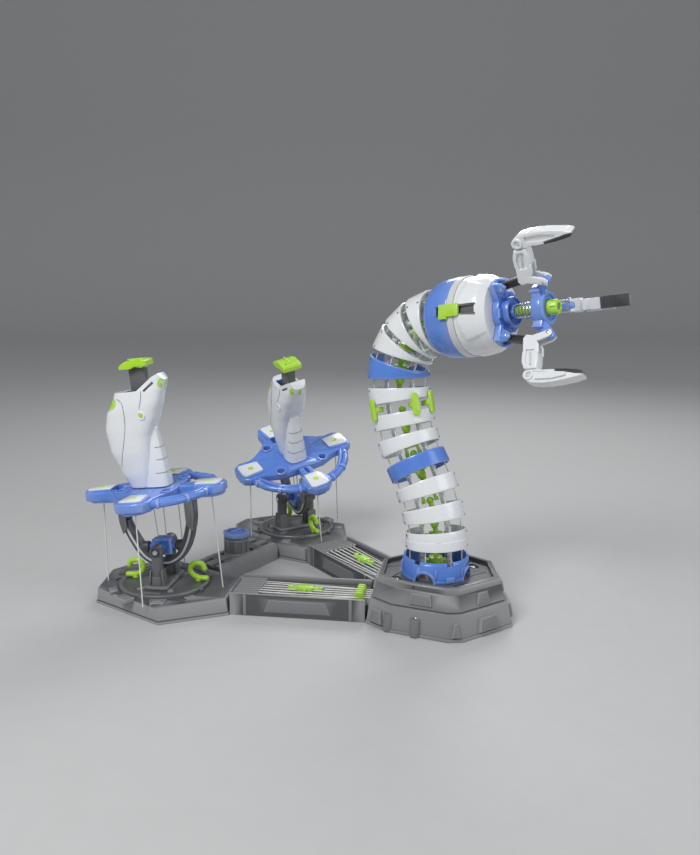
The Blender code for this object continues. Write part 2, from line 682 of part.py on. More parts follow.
def make_beam(name, bearing):
    """A channel from a station's plate to the tower, with ribs at the station's end."""
    frame = station_frame(bearing)
    half = BEAM_WIDTH / 2
    inner = half - BEAM_WALL
    section = [(-half, 0), (half, 0), (half, BEAM_HEIGHT), (inner, BEAM_HEIGHT), (inner, BEAM_FLOOR),
               (-inner, BEAM_FLOOR), (-inner, BEAM_HEIGHT), (-half, BEAM_HEIGHT)]
    start, end = PLATE_BEAM_FACE + GAP, BEAM_SPAN - TOWER_FLAT
    channel = slab(section, start, end, place=ALONG)
    ribs = [block((25, 3, 6), (start + 12.5, y, BEAM_FLOOR + 2)) for y in range(-18, 19, 6)]
    bridge = block((3, 2 * inner + 2, 6), (start + 24, 0, BEAM_FLOOR + 2))
    assemble(name + "_beam", "grey", frame, [channel, bridge, *ribs])
    comb_x = end - 8
    base = block((9, 24, 3), (comb_x, 0, BEAM_FLOOR + GAP + 1.5))
    teeth = [block((9, 2.6, 7), (comb_x, y, BEAM_FLOOR + GAP + 4.5)) for y in (-10.7, -5.3, 0, 5.3, 10.7)]
    assemble(name + "_comb", "green", frame, [base, *teeth])
    coupler_x = 143
    body = block((15, 10, 4), (coupler_x, 3, BEAM_FLOOR + 3.4))
    stems = [block((34, 4, 4), (coupler_x, 3, BEAM_FLOOR + 3.4)),
             block((4, 14, 4), (coupler_x, 3, BEAM_FLOOR + 3.4))]
    assemble(name + "_coupler", "green", frame, [body, *stems])
    joint(name + "_coupler_slide", frame @ Vector((coupler_x, 3, BEAM_FLOOR)), frame.to_3x3().col[0])


def make_link():
    left = station_frame(LEFT_BEARING).translation
    rear = station_frame(REAR_BEARING).translation
    along = rear - left
    bearing = Vector((1, 0)).angle_signed(Vector((along.x, along.y))) * -180 / pi
    frame = Matrix.Translation(left) @ turn_z(bearing)
    start, end = LINK_FACE + GAP, along.length - LINK_FACE - GAP
    middle = along.length / 2
    half = LINK_WIDTH / 2
    section = [(-half, 0), (half, 0), (half, 14), (half - 5, LINK_HEIGHT), (5 - half, LINK_HEIGHT), (-half, 14)]
    beam = slab(section, start, end, place=ALONG)
    grooves = [block((end - start + 4, 3, 4), (middle, y, LINK_HEIGHT)) for y in (-9, 0, 9)]
    barrel = slab([(middle + x, y) for x, y in octagon(KNOB_RADIUS - 1.6)], 6, BARREL_TOP)
    seat = block((36, 36, 12), (middle, 0, 8))
    assemble("link_beam", "grey", frame, [beam, barrel, seat], grooves_around(grooves, middle))
    knob = slab([(middle + x, y) for x, y in octagon(KNOB_RADIUS)], BARREL_TOP + GAP, KNOB_TOP)
    dial = [block((16, 4, 3), (middle, 0, KNOB_TOP + 1))]
    assemble("lock_knob", "blue", frame, [knob, *dial])
    joint("lock_knob_turn", frame @ Vector((middle, 0, BARREL_TOP)), (0, 0, 1))


def grooves_around(grooves, middle):
    """Grooves that stop short of the barrel: each is split by keeping a core clear."""
    for groove in grooves:
        boolean(groove, "DIFFERENCE", [rod(KNOB_RADIUS + 3, (middle, 0, 5), (middle, 0, 45), 24)])
    cut = [baked(groove) for groove in grooves]
    return cut


clear_scene()
robot = new_collection("tendon_robot_arm")
bench = new_collection("bench")
bench.hide_render = True
ring_frames, arm_hinges = arm_frames()
head_frame = ring_frames[-1] @ turn_z(HEAD_HEADING + 90)

make_tower()
make_collar()
arm_joint(0)
for ring in range(len(ARM_RINGS)):
    make_ring(ring)
make_clips()
make_head()
make_claw()
make_station("left", LEFT_BEARING, LEFT_LEAN, 1)
make_station("rear", REAR_BEARING, REAR_LEAN, -1)
make_beam("front", LEFT_BEARING)
make_beam("rear", REAR_BEARING)
make_link()
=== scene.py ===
"""Looks of the tendon-driven robot arm: moulded plastics, strings, springs and small fittings.

Lengths here are in millimetres and angles in degrees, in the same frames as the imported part.
A mesh is turned into metres when it is placed.
"""

from math import asin, atan2, cos, pi, radians, sin, sqrt, tan

import bmesh
import bpy
from mathutils import Matrix, Vector


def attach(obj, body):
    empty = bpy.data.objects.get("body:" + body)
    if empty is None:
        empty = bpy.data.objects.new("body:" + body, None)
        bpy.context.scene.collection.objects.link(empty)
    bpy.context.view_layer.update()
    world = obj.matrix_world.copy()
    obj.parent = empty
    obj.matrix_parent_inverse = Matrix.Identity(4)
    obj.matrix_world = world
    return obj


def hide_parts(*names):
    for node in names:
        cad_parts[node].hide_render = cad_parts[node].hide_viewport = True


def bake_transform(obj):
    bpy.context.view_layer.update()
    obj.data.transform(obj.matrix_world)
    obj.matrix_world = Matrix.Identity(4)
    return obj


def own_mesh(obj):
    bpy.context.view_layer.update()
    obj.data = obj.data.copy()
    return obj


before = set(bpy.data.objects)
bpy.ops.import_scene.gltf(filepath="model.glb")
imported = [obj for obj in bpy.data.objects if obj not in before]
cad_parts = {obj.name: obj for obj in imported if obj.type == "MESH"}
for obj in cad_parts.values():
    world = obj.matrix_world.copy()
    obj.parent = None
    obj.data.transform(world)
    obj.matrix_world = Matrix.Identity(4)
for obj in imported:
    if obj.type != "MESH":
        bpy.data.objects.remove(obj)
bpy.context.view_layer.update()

MM = 0.001
ROUND = 1.0  # usual rounding of a moulded edge

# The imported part's layout
TOWER_AT = (90.0, -89.1)
BEAM_SPAN = 270
LEFT_BEARING = 171.5
REAR_BEARING = 123
PIVOT_HEIGHT = 57
LEFT_LEAN = (-5.5, 0)
REAR_LEAN = (20, 13)
ARM_START = 78
RING_RADIUS = 29.5
RING_WALL = 2.2
COLLAR_TOP = 62.4
RING_OPENING = 60
RIGID_PAIR = 5
HEAD_TILT = (82, -40)
TAB_BEARING = 169
# name, colour, height, step to the next, lean, heading, share of the wedge it takes
ARM_RINGS = [
    ("ring_01", "white", 16.0, 23.7, 7.0, 110, 0.5),
    ("ring_02", "white", 14.0, 23.8, 17.5, 128, 0.5),
    ("ring_03", "white", 14.0, 23.3, 24.5, 136, 0.5),
    ("ring_04", "blue", 15.0, 23.8, 32.0, 138, 0.5),
    ("ring_05", "white", 14.0, 22.6, 24.5, 136, 0.5),
    ("ring_06", "white", 14.0, 24.4, 14.0, 130, 0.5),
    ("ring_07", "white", 14.0, 22.8, 14.0, 130, 1.0),
    ("ring_08", "blue", 15.0, 21.6, 5.5, 15, 1.0),
    ("ring_09", "white", 12.5, 17.9, 26.0, -20, 1.0),
    ("ring_10", "white", 12.5, 19.2, 46.0, -26, 1.0),
    ("ring_11", "white", 12.5, 12.2, 67.0, -33, 1.0),
]
BODIES = ["segment_01", "segment_02", "segment_03", "segment_04", "segment_05", "segment_06", "segment_06",
          "segment_08", "segment_09", "segment_10", "segment_11", "head"]


# Materials

def node(tree, kind, **inputs):
    made = tree.nodes.new(kind)
    for name, value in inputs.items():
        made.inputs[name.replace("_", " ")].default_value = value
    return made


def plastic(name, colour, rough, coat=0.0, mottle=0.05, edge_highlight=0.35, grain=0.06, sheen=0.0):
    """Moulded plastic: faint mottling, edges painted paler as a highlight, uneven gloss and a fine moulded grain."""
    made = bpy.data.materials.new(name)
    made.use_nodes = True
    tree = made.node_tree
    shader = tree.nodes["Principled BSDF"]
    shader.inputs["IOR"].default_value = 1.5
    shader.inputs["Coat Weight"].default_value = coat
    shader.inputs["Coat Roughness"].default_value = 0.12
    shader.inputs["Sheen Weight"].default_value = sheen
    place = tree.nodes.new("ShaderNodeTexCoord")
    link = tree.links.new

    cloud = node(tree, "ShaderNodeTexNoise", Scale=38.0, Detail=5.0, Roughness=0.6)
    link(place.outputs["Object"], cloud.inputs["Vector"])
    tone = tree.nodes.new("ShaderNodeValToRGB")
    tone.color_ramp.elements[0].position = 0.3
    tone.color_ramp.elements[0].color = (*[c * (1 - 1.6 * mottle) for c in colour], 1)
    tone.color_ramp.elements[1].position = 0.7
    tone.color_ramp.elements[1].color = (*[min(1, c * (1 + mottle)) for c in colour], 1)
    link(cloud.outputs["Fac"], tone.inputs["Fac"])

    # Painted highlight: where Pointiness finds an edge, the colour is mixed towards a paler one to stand for light
    # caught on the bevels.
    edge = tree.nodes.new("ShaderNodeNewGeometry")
    edge_highlight_mask = node(tree, "ShaderNodeMapRange", From_Min=0.515, From_Max=0.60, To_Min=0.0, To_Max=edge_highlight)
    link(edge.outputs["Pointiness"], edge_highlight_mask.inputs["Value"])
    mixed = tree.nodes.new("ShaderNodeMixRGB")
    mixed.inputs["Color2"].default_value = (*[c + (1 - c) * 0.35 for c in colour], 1)
    link(edge_highlight_mask.outputs["Result"], mixed.inputs["Fac"])
    link(tone.outputs["Color"], mixed.inputs["Color1"])
    link(mixed.outputs["Color"], shader.inputs["Base Color"])

    smear = node(tree, "ShaderNodeTexNoise", Scale=120.0, Detail=6.0, Roughness=0.65)
    link(place.outputs["Object"], smear.inputs["Vector"])
    gloss = node(tree, "ShaderNodeMapRange", From_Min=0.3, From_Max=0.7, To_Min=rough - 0.05, To_Max=rough + 0.08)
    link(smear.outputs["Fac"], gloss.inputs["Value"])
    link(gloss.outputs["Result"], shader.inputs["Roughness"])

    pores = node(tree, "ShaderNodeTexNoise", Scale=1500.0, Detail=3.0)
    link(place.outputs["Object"], pores.inputs["Vector"])
    bump = node(tree, "ShaderNodeBump", Strength=grain, Distance=0.0004)
    link(pores.outputs["Fac"], bump.inputs["Height"])
    link(bump.outputs["Normal"], shader.inputs["Normal"])
    return made


def metal(name, colour, rough):
    """Bright steel with fine turned scratches."""
    made = plastic(name, colour, rough, mottle=0.03, edge_highlight=0.1, grain=0.2)
    made.node_tree.nodes["Principled BSDF"].inputs["Metallic"].default_value = 1.0
    return made


def cord_material(name, colour):
    """Braided thread: diagonal strands a third of a millimetre apart."""
    made = plastic(name, colour, 0.7, mottle=0.12, edge_highlight=0.0, grain=0.0, sheen=0.3)
    tree = made.node_tree
    place = tree.nodes.new("ShaderNodeTexCoord")
    strands = node(tree, "ShaderNodeTexWave", Scale=450.0, Distortion=1.5, Detail=1.0)
    strands.bands_direction = "DIAGONAL"
    tree.links.new(place.outputs["Object"], strands.inputs["Vector"])
    bump = node(tree, "ShaderNodeBump", Strength=0.5, Distance=0.0003)
    tree.links.new(strands.outputs["Fac"], bump.inputs["Height"])
    tree.links.new(bump.outputs["Normal"], tree.nodes["Principled BSDF"].inputs["Normal"])
    return made


# Each material sets how strongly its edges get the painted highlight.
MATERIALS = {
    "grey": (plastic("satin_grey", (0.085, 0.086, 0.090), 0.36, coat=0.15, edge_highlight=0.7, grain=0.22), "base_grey"),
    "slate": (plastic("satin_slate", (0.052, 0.054, 0.060), 0.38, coat=0.1, edge_highlight=0.6, grain=0.2), "base_grey"),
    "dark": (plastic("satin_black", (0.022, 0.023, 0.026), 0.38, edge_highlight=0.4, grain=0.2), "dark_plastic"),
    "blue": (plastic("gloss_blue", (0.10, 0.235, 0.70), 0.24, coat=0.35, mottle=0.05, edge_highlight=0.55), "blue_plastic"),
    "green": (plastic("gloss_lime", (0.42, 0.74, 0.02), 0.31, coat=0.15, mottle=0.06, edge_highlight=0.3), "green_plastic"),
    "white": (plastic("gloss_white", (0.80, 0.82, 0.835), 0.22, coat=0.4, mottle=0.018, edge_highlight=0.5, grain=0.03),
              "white_plastic"),
    "pale": (plastic("satin_pale", (0.60, 0.62, 0.63), 0.34, coat=0.1, mottle=0.03, edge_highlight=0.5), "white_plastic"),
    "steel": (metal("bright_steel", (0.62, 0.62, 0.64), 0.22), "steel"),
    "string": (cord_material("pale_braid", (0.82, 0.82, 0.78)), "string"),
    "rubber": (plastic("soft_rubber", (0.018, 0.018, 0.019), 0.62, edge_highlight=0.15, grain=0.5, sheen=0.2), "rubber"),
}


# Shapes. Each function returns a bmesh in millimetres.

def turn_x(angle):
    return Matrix.Rotation(radians(angle), 4, "X")


def turn_y(angle):
    return Matrix.Rotation(radians(angle), 4, "Y")


def turn_z(angle):
    return Matrix.Rotation(radians(angle), 4, "Z")


def shift(x, y, z):
    return Matrix.Translation((x, y, z))


UPRIGHT = Matrix(((1, 0, 0, 0), (0, 0, -1, 0), (0, 1, 0, 0), (0, 0, 0, 1)))  # outline x, y to x, z
ALONG = Matrix(((0, 0, 1, 0), (1, 0, 0, 0), (0, 1, 0, 0), (0, 0, 0, 1)))  # outline x, y to y, z


def polar(radius, bearing):
    return (radius * cos(radians(bearing)), radius * sin(radians(bearing)))


def arc(radius, start, end, steps, centre=(0, 0)):
    angles = [start + (end - start) * i / steps for i in range(steps + 1)]
    return [(centre[0] + polar(radius, a)[0], centre[1] + polar(radius, a)[1]) for a in angles]


def rounded(bm, width, steps=2, angle=28, place=None):
    """Rounds the edges that turn more than angle, and moves the shape into place."""
    if width:
        edges = [e for e in bm.edges if len(e.link_faces) == 2 and e.calc_face_angle(0) > radians(angle)]
        bmesh.ops.bevel(bm, geom=edges, offset=width, segments=steps, profile=0.5, affect="EDGES",
                        clamp_overlap=True)
    if place is not None:
        bm.transform(place)
    bm.normal_update()
    bmesh.ops.recalc_face_normals(bm, faces=bm.faces)
    return bm


def box(size, at=(0, 0, 0), turn=None, soft=ROUND / 2, place=None):
    bm = bmesh.new()
    bmesh.ops.create_cube(bm, size=1)
    bm.transform(Matrix.Diagonal((*size, 1)))
    return rounded(bm, min(soft, min(size) * 0.45), place=(place or Matrix()) @ shift(*at) @ (turn or Matrix()))


def rod(radius, start, end, end_radius=None, soft=0.5, sides=28, place=None):
    start = Vector(start)
    along = Vector(end) - start
    turn = along.to_track_quat("Z", "Y").to_matrix().to_4x4()
    bm = bmesh.new()
    bmesh.ops.create_cone(bm, cap_ends=True, segments=sides, radius1=radius,
                          radius2=radius if end_radius is None else end_radius, depth=along.length)
    return rounded(bm, min(soft, radius * 0.4), angle=50,
                   place=(place or Matrix()) @ shift(*(start + along / 2)) @ turn)


def ball(radius, at, stretch=(1, 1, 1), place=None):
    bm = bmesh.new()
    bmesh.ops.create_uvsphere(bm, u_segments=20, v_segments=12, radius=radius)
    return rounded(bm, 0, place=(place or Matrix()) @ shift(*at) @ Matrix.Diagonal((*stretch, 1)))


def slab(outline, low, high, soft=ROUND, top_scale=1.0, place=None, steps=2):
    bm = bmesh.new()
    face = bm.faces.new([bm.verts.new((x, y, low)) for x, y in outline])
    raised = bmesh.ops.extrude_face_region(bm, geom=[face])["geom"]
    for vert in (item for item in raised if isinstance(item, bmesh.types.BMVert)):
        vert.co = Vector((vert.co.x * top_scale, vert.co.y * top_scale, high))
    return rounded(bm, soft, steps, place=place)


def loft(rows, cap=True, around=True, place=None):
    """A skin over rows of points, each row a loop of the same count."""
    bm = bmesh.new()
    grid = [[bm.verts.new(p) for p in row] for row in rows]
    count = len(rows[0])
    for low, high in zip(grid, grid[1:]):
        for i in range(count if around else count - 1):
            j = (i + 1) % count
            bm.faces.new((low[i], low[j], high[j], high[i]))
    if cap:
        bm.faces.new(list(reversed(grid[0])))
        bm.faces.new(grid[-1])
    return rounded(bm, 0, place=place)


def turned(profile, sides=64, place=None, shape=None):
    """A closed r, z profile turned about Z; shape may change r by bearing and height."""
    rows = []
    for i in range(sides):
        a = 360 * i / sides
        row = []
        for r, z in profile:
            x, y = polar(shape(r, a, z) if shape else r, a)
            row.append((x, y, z))
        rows.append(row)
    return loft(rows + [rows[0]], cap=False, place=place)


def smooth_path(points, steps=6):
    points = [Vector(point) for point in points]
    ends = [points[0] * 2 - points[1], *points, points[-1] * 2 - points[-2]]
    path = [points[0]]
    for a, b, c, d in zip(ends, ends[1:], ends[2:], ends[3:]):
        for step in range(1, steps + 1):
            t = step / steps
            path.append(0.5 * (2 * b + (c - a) * t + (2 * a - 5 * b + 4 * c - d) * t * t
                               + (3 * b - a - 3 * c + d) * t ** 3))
    return path


def sweep(points, radius, sides=10, place=None, flat=1.0):
    """A round bar through the points; radius may be a list, one for each point."""
    points = [Vector(point) for point in points]
    radii = radius if isinstance(radius, list) else [radius] * len(points)
    side = None
    rows = []
    for i, point in enumerate(points):
        along = (points[min(i + 1, len(points) - 1)] - points[max(i - 1, 0)]).normalized()
        side = along.orthogonal() if side is None else side - along * side.dot(along)
        side.normalize()
        other = along.cross(side)
        rows.append([point + (side * cos(2 * pi * k / sides) + other * sin(2 * pi * k / sides) * flat) * radii[i]
                     for k in range(sides)])
    return loft(rows, place=place)


def capsule(start, end, radius, low, high, soft=0.8, place=None, steps=8):
    """A flat link with round ends, as a slab."""
    along = Vector(end) - Vector(start)
    facing = atan2(along.y, along.x) * 180 / pi
    return slab(arc(radius, facing - 90, facing + 90, steps, end) + arc(radius, facing + 90, facing + 270, steps, start),
                low, high, soft, place=place)


def mesh_of(shapes):
    joined = bmesh.new()
    for shape in shapes:
        bench = bpy.data.meshes.new("bench")
        shape.to_mesh(bench)
        joined.from_mesh(bench)
        bpy.data.meshes.remove(bench)
        shape.free()
    mesh = bpy.data.meshes.new("piece")
    joined.to_mesh(mesh)
    joined.free()
    return mesh


def show(name, body, colour, shapes, at=None, cuts=(), soft=0.0, replaces=(), ride=True, crease=34):
    """Joins the shapes, cuts them, and puts the piece on its body in the colour's material."""
    mesh = mesh_of(shapes)
    obj = bpy.data.objects.new(name, mesh)
    bpy.context.scene.collection.objects.link(obj)
    tools = []
    for cutter in cuts:
        tool = bpy.data.objects.new("tool", mesh_of([cutter]))
        bpy.context.scene.collection.objects.link(tool)
        tools.append(tool)
        cut = obj.modifiers.new("cut", "BOOLEAN")
        cut.operation, cut.object, cut.solver = "DIFFERENCE", tool, "EXACT"
        cut.use_self = True
    if soft:
        edge = obj.modifiers.new("edge", "BEVEL")
        edge.width, edge.segments, edge.limit_method, edge.angle_limit = soft, 2, "ANGLE", radians(35)
    if cuts or soft:
        obj.data = bpy.data.meshes.new_from_object(obj.evaluated_get(bpy.context.evaluated_depsgraph_get()))
        obj.modifiers.clear()
        for tool in tools:
            bpy.data.objects.remove(tool, do_unlink=True)
    placed = (at or Matrix()).copy()
    placed.translation = placed.translation * MM
    obj.data.transform(placed @ Matrix.Scale(MM, 4))
    obj.data.shade_smooth()
    obj.data.set_sharp_from_angle(angle=radians(crease))
    material, slot = MATERIALS[colour]
    obj.data.materials.clear()
    obj.data.materials.append(material)
    obj.data.name = name
    if ride:
        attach(obj, body)
    if replaces:
        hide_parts(*replaces)
    return obj


def screw(radius, at, place=None):
    """A cross-head screw, its head up along Z."""
    x, y, z = at
    head = rod(radius, (x, y, z - 1), (x, y, z + 0.9), radius * 0.8, soft=0.3, sides=24, place=place)
    return head


def cross_slot(radius, at, place=None):
    x, y, z = at
    return [box((radius * 1.3, radius * 0.28, 0.6), (x, y, z + 0.75), turn_z(20 + k), soft=0, place=place)
            for k in (0, 90)]


def station_frame(bearing):
    x, y = polar(BEAM_SPAN, bearing)
    return shift(TOWER_AT[0] + x, TOWER_AT[1] + y, 0) @ turn_z(bearing + 180)


def arm_frames():
    frames = []
    centre = Vector((*TOWER_AT, ARM_START))
    axis = Vector((0, 0, 1))
    hinges = [Vector((*TOWER_AT, (COLLAR_TOP + ARM_START - ARM_RINGS[0][2] / 2) / 2))]
    steps = [row[3] for row in ARM_RINGS]
    for index, (lean, heading) in enumerate([row[4:6] for row in ARM_RINGS] + [HEAD_TILT]):
        turn = turn_z(heading) @ turn_y(lean) @ turn_z(-heading)
        new_axis = (turn @ Vector((0, 0, 1))).normalized()
        if index:
            below = centre
            centre = centre + steps[index - 1] * (axis + new_axis).normalized()
            hinges.append((below + centre) / 2)
        axis = new_axis
        frames.append(shift(*centre) @ turn)
    hinges[-1] = centre - axis * (steps[-1] - ARM_RINGS[-1][2] / 2) / 2
    return frames, hinges


ring_frames, arm_hinges = arm_frames()
head_frame = ring_frames[-1] @ turn_z(HEAD_TILT[1] + 90)


# Camera, light and floor

def area_light(name, at, aim, size, power, tint=(1, 1, 1)):
    light = bpy.data.lights.new(name, "AREA")
    light.shape, light.size, light.energy, light.color = "DISK", size, power, tint
    obj = bpy.data.objects.new(name, light)
    obj.location = at
    obj.rotation_euler = (Vector(aim) - Vector(at)).to_track_quat("-Z", "Y").to_euler()
    bpy.context.scene.collection.objects.link(obj)


def make_studio():
    camera = bpy.data.cameras.new("camera")
    camera.sensor_width = 36
    camera.lens = 37.26
    obj = bpy.data.objects.new("camera", camera)
    obj.location = (0.0085, -0.8934, 0.336)
    obj.rotation_euler = (radians(79.3), 0, 0)
    bpy.context.scene.collection.objects.link(obj)
    bpy.context.scene.camera = obj
    area_light("key", (-0.55, -0.9, 1.15), (0, 0, 0.15), 0.55, 12)
    area_light("fill", (1.1, -0.6, 0.7), (0, 0, 0.15), 0.9, 4.5, (0.93, 0.96, 1))
    area_light("rim", (0.3, 1.0, 1.0), (0, 0, 0.2), 0.7, 6)
    world = bpy.data.worlds.new("studio")
    world.use_nodes = True
    world.node_tree.nodes["Background"].inputs["Color"].default_value = (0.86, 0.89, 0.93, 1)
    world.node_tree.nodes["Background"].inputs["Strength"].default_value = 0.38
    bpy.context.scene.world = world
    bpy.context.scene.view_settings.view_transform = "Standard"
    mesh = bpy.data.meshes.new("floor")
    half, back, top, bend, y0 = 6.0, 4.0, 4.0, 8, -4.0
    rows = [(y0, 0.0), (back - 1, 0.0)]
    rows += [(back - 1 + sin(pi / 2 * i / bend), 1 - cos(pi / 2 * i / bend)) for i in range(1, bend + 1)]
    rows.append((back, top))
    verts = [(x, y, z) for y, z in rows for x in (-half, half)]
    mesh.from_pydata(verts, [], [(2 * i, 2 * i + 1, 2 * i + 3, 2 * i + 2) for i in range(len(rows) - 1)])
    mesh.shade_smooth()
    floor = bpy.data.objects.new("floor", mesh)
    paper = plastic("paper", (0.52, 0.52, 0.515), 0.6, mottle=0.01, edge_highlight=0, grain=0.02)
    mesh.materials.append(paper)
    bpy.context.scene.collection.objects.link(floor)


make_studio()

# Tower

TOWER_OUTLINE = [(70, -28), (70, 28), (38, 60), (-10.6, 69.1), (-58.8, 37.8), (-67.2, -19), (-48, -40), (6, -64),
                 (20, -63)]
TOWER_FACES = list(zip(TOWER_OUTLINE, TOWER_OUTLINE[1:] + TOWER_OUTLINE[:1]))


def scaled(outline, factor):
    return [(x * factor, y * factor) for x, y in outline]


def on_face(face, share, height, lean):
    """A frame on one flat side of the tower: X along the side, Z up it, Y inwards."""
    (x0, y0), (x1, y1) = face
    bearing = atan2(y1 - y0, x1 - x0) * 180 / pi
    return (shift(x0 + (x1 - x0) * share, y0 + (y1 - y0) * share, height) @ turn_z(bearing) @ turn_x(-lean))


def make_tower():
    at = shift(*TOWER_AT, 0)
    lean = 9.5
    skirt = [slab(TOWER_OUTLINE, 0, 3.2, 0.9, 0.997), slab(scaled(TOWER_OUTLINE, 0.985), 2.5, 25, 1.6, 0.945)]
    for face, share, width in ((0, 0.5, 34), (8, 0.5, 24), (1, 0.5, 22), (2, 0.5, 26), (3, 0.5, 26), (4, 0.5, 30),
                               (7, 0.5, 8), (5, 0.5, 16)):
        place = on_face(TOWER_FACES[face], share, 11.5, lean)
        skirt.append(slab([(-width / 2, -6.2), (width / 2, -6.2), (width / 2 - 2.5, 6.2), (-width / 2 + 2.5, 6.2)],
                          -3.2, 1.5, 0.9, place=place @ turn_x(90) @ shift(0, 0, 0)))
    bosses = [(-46, -36), (-22.5, -49), (51, 40), (23.5, 61)]
    for x, y in bosses:
        skirt.append(rod(5.4, (x * 1.005, y * 1.005, 0.3), (x * 0.99, y * 0.99, 17), 4.9, soft=1.2))
        skirt.append(box((13, 3, 3), (x, y, 1.6), turn_z(atan2(y, x) * 180 / pi + 90)))
    show("tower_skirt_shell", "base", "grey", skirt, at, replaces=("tower_skirt",))
    wells = [(x * 0.96, y * 0.96, 16.9) for x, y in bosses]
    heads = [screw(2.7, w, place=at) for w in wells]

    rim = scaled(TOWER_OUTLINE, 0.9)
    top = [slab(rim, 25.3, 42, 1.5, 0.93), slab(scaled(rim, 0.945), 40, 47, 1.3, 0.955)]
    for face, share, width in ((0, 0.5, 26), (8, 0.5, 15), (1, 0.5, 20), (2, 0.5, 22), (3, 0.5, 24), (4, 0.5, 24),
                               (6, 0.52, 22)):
        (x0, y0), (x1, y1) = TOWER_FACES[face]
        place = on_face(((x0 * 0.885, y0 * 0.885), (x1 * 0.885, y1 * 0.885)), share, 34, lean + 2)
        top.append(slab([(-width / 2, -5), (width / 2, -5), (width / 2 - 2, 5), (-width / 2 + 2, 5)], -3, 1.3,
                        0.8, place=place @ turn_x(90)))
    recess = [slab(scaled(TOWER_OUTLINE, 0.745), 43.4, 60, 0)]
    oval = []
    for bearing in (-157, 24, -62, 118):
        x, y = polar(41.5, bearing)
        recess.append(capsule((-2.5, 0), (2.5, 0), 4.6, 41.9, 60, 0, place=shift(x, y, 0) @ turn_z(bearing + 90)))
        oval.append(screw(2.9, (x, y, 42.6)))
    grooves = []
    for k in range(9):
        bearing = 20 + 40 * k
        (x0, y0), (x1, y1) = polar(33.5, bearing), polar(50, bearing + 22)
        grooves.append(box((20, 1.1, 2.0), ((x0 + x1) / 2, (y0 + y1) / 2, 43.5),
                           turn_z(atan2(y1 - y0, x1 - x0) * 180 / pi), soft=0))
    show("tower_top_shell", "base", "grey", top, at, cuts=recess + grooves, replaces=("tower_top",))
    show("tower_deck_screws", "base", "steel", oval, at,
         cuts=[s for b in (-157, 24, -62, 118) for s in cross_slot(2.9, (*polar(41.5, b), 42.6))])
    show("tower_boss_screws", "base", "steel", heads,
         cuts=[s for w in wells for s in cross_slot(2.7, w, place=at)])


def make_collar():
    at = shift(*TOWER_AT, 0)
    low = 43.3
    cup = turned([(32, low), (32.2, low + 1.5), (31.6, low + 2), (31.2, 60.2), (30.8, 60.6), (30.5, 62.1), (30.1, 62.4),
                  (29.2, 62.4), (28.8, 62), (28.8, low)], 96)
    cuts = []
    rims = []
    bearings = [-115, -25, 65, 155]
    for b in bearings:
        cuts.append(rod(9.2, (*polar(18, b), low - 1), (*polar(42, b), low - 1), soft=0, sides=48))
        rims.append(loft_arch(b, low))
    for k, b in enumerate(range(-70, 290, 60)):
        cuts.append(box((12, 6.4, 9), (*polar(31, b), 63.2), turn_z(b), soft=0))
    for b in range(-115, 245, 30):
        x, y = polar(32.1, b + 15)
        cuts.append(box((1.0, 0.7, 30), (x, y, 60), turn_z(b + 15), soft=0))
    show("collar_cup", "base", "blue", [cup], at, cuts, soft=0.25, replaces=("arm_collar",))
    show("collar_rims", "base", "blue", rims + [box((8, 2.4, 5), (*polar(32.2, -70), low + 3), turn_z(-70 + 90))]
         + [box((1.6, 1.4, 8), (*polar(32, b), 52), turn_z(b + 90)) for b in (-95, -45, 40, 90, 130, 180)], at)
    floor = rod(28.6, (0, 0, low), (0, 0, low + 2), soft=0.3, sides=48)
    show("collar_floor", "base", "slate", [floor], at)
    spine(0, "base", at, low + 2, 59.5, Vector((0, 0, (COLLAR_TOP + ARM_START - 8) / 2)), collar=True)


def loft_arch(bearing, low):
    """A raised rim round one arch of the collar, bent to the cup."""
    rows = []
    for i in range(25):
        a = pi * i / 24
        row = []
        for r, out in ((8.7, 31.2), (8.7, 32.6), (9.4, 33.0), (10.6, 33.0), (11.1, 32.4), (11.1, 31.2)):
            turn_by = asin(r * cos(a) / 32) * 180 / pi
            x, y = polar(out, bearing + turn_by)
            row.append((x, y, low + max(0.05, r * sin(a)) ))
        rows.append(row)
    return loft(rows)


# Stations

PLATE_OUTLINE = [(-66, -18), (15, -63), (74, -30), (74, 30), (-8, 72), (-60, 54), (-73, 34)]
STRING_ROUND = 60


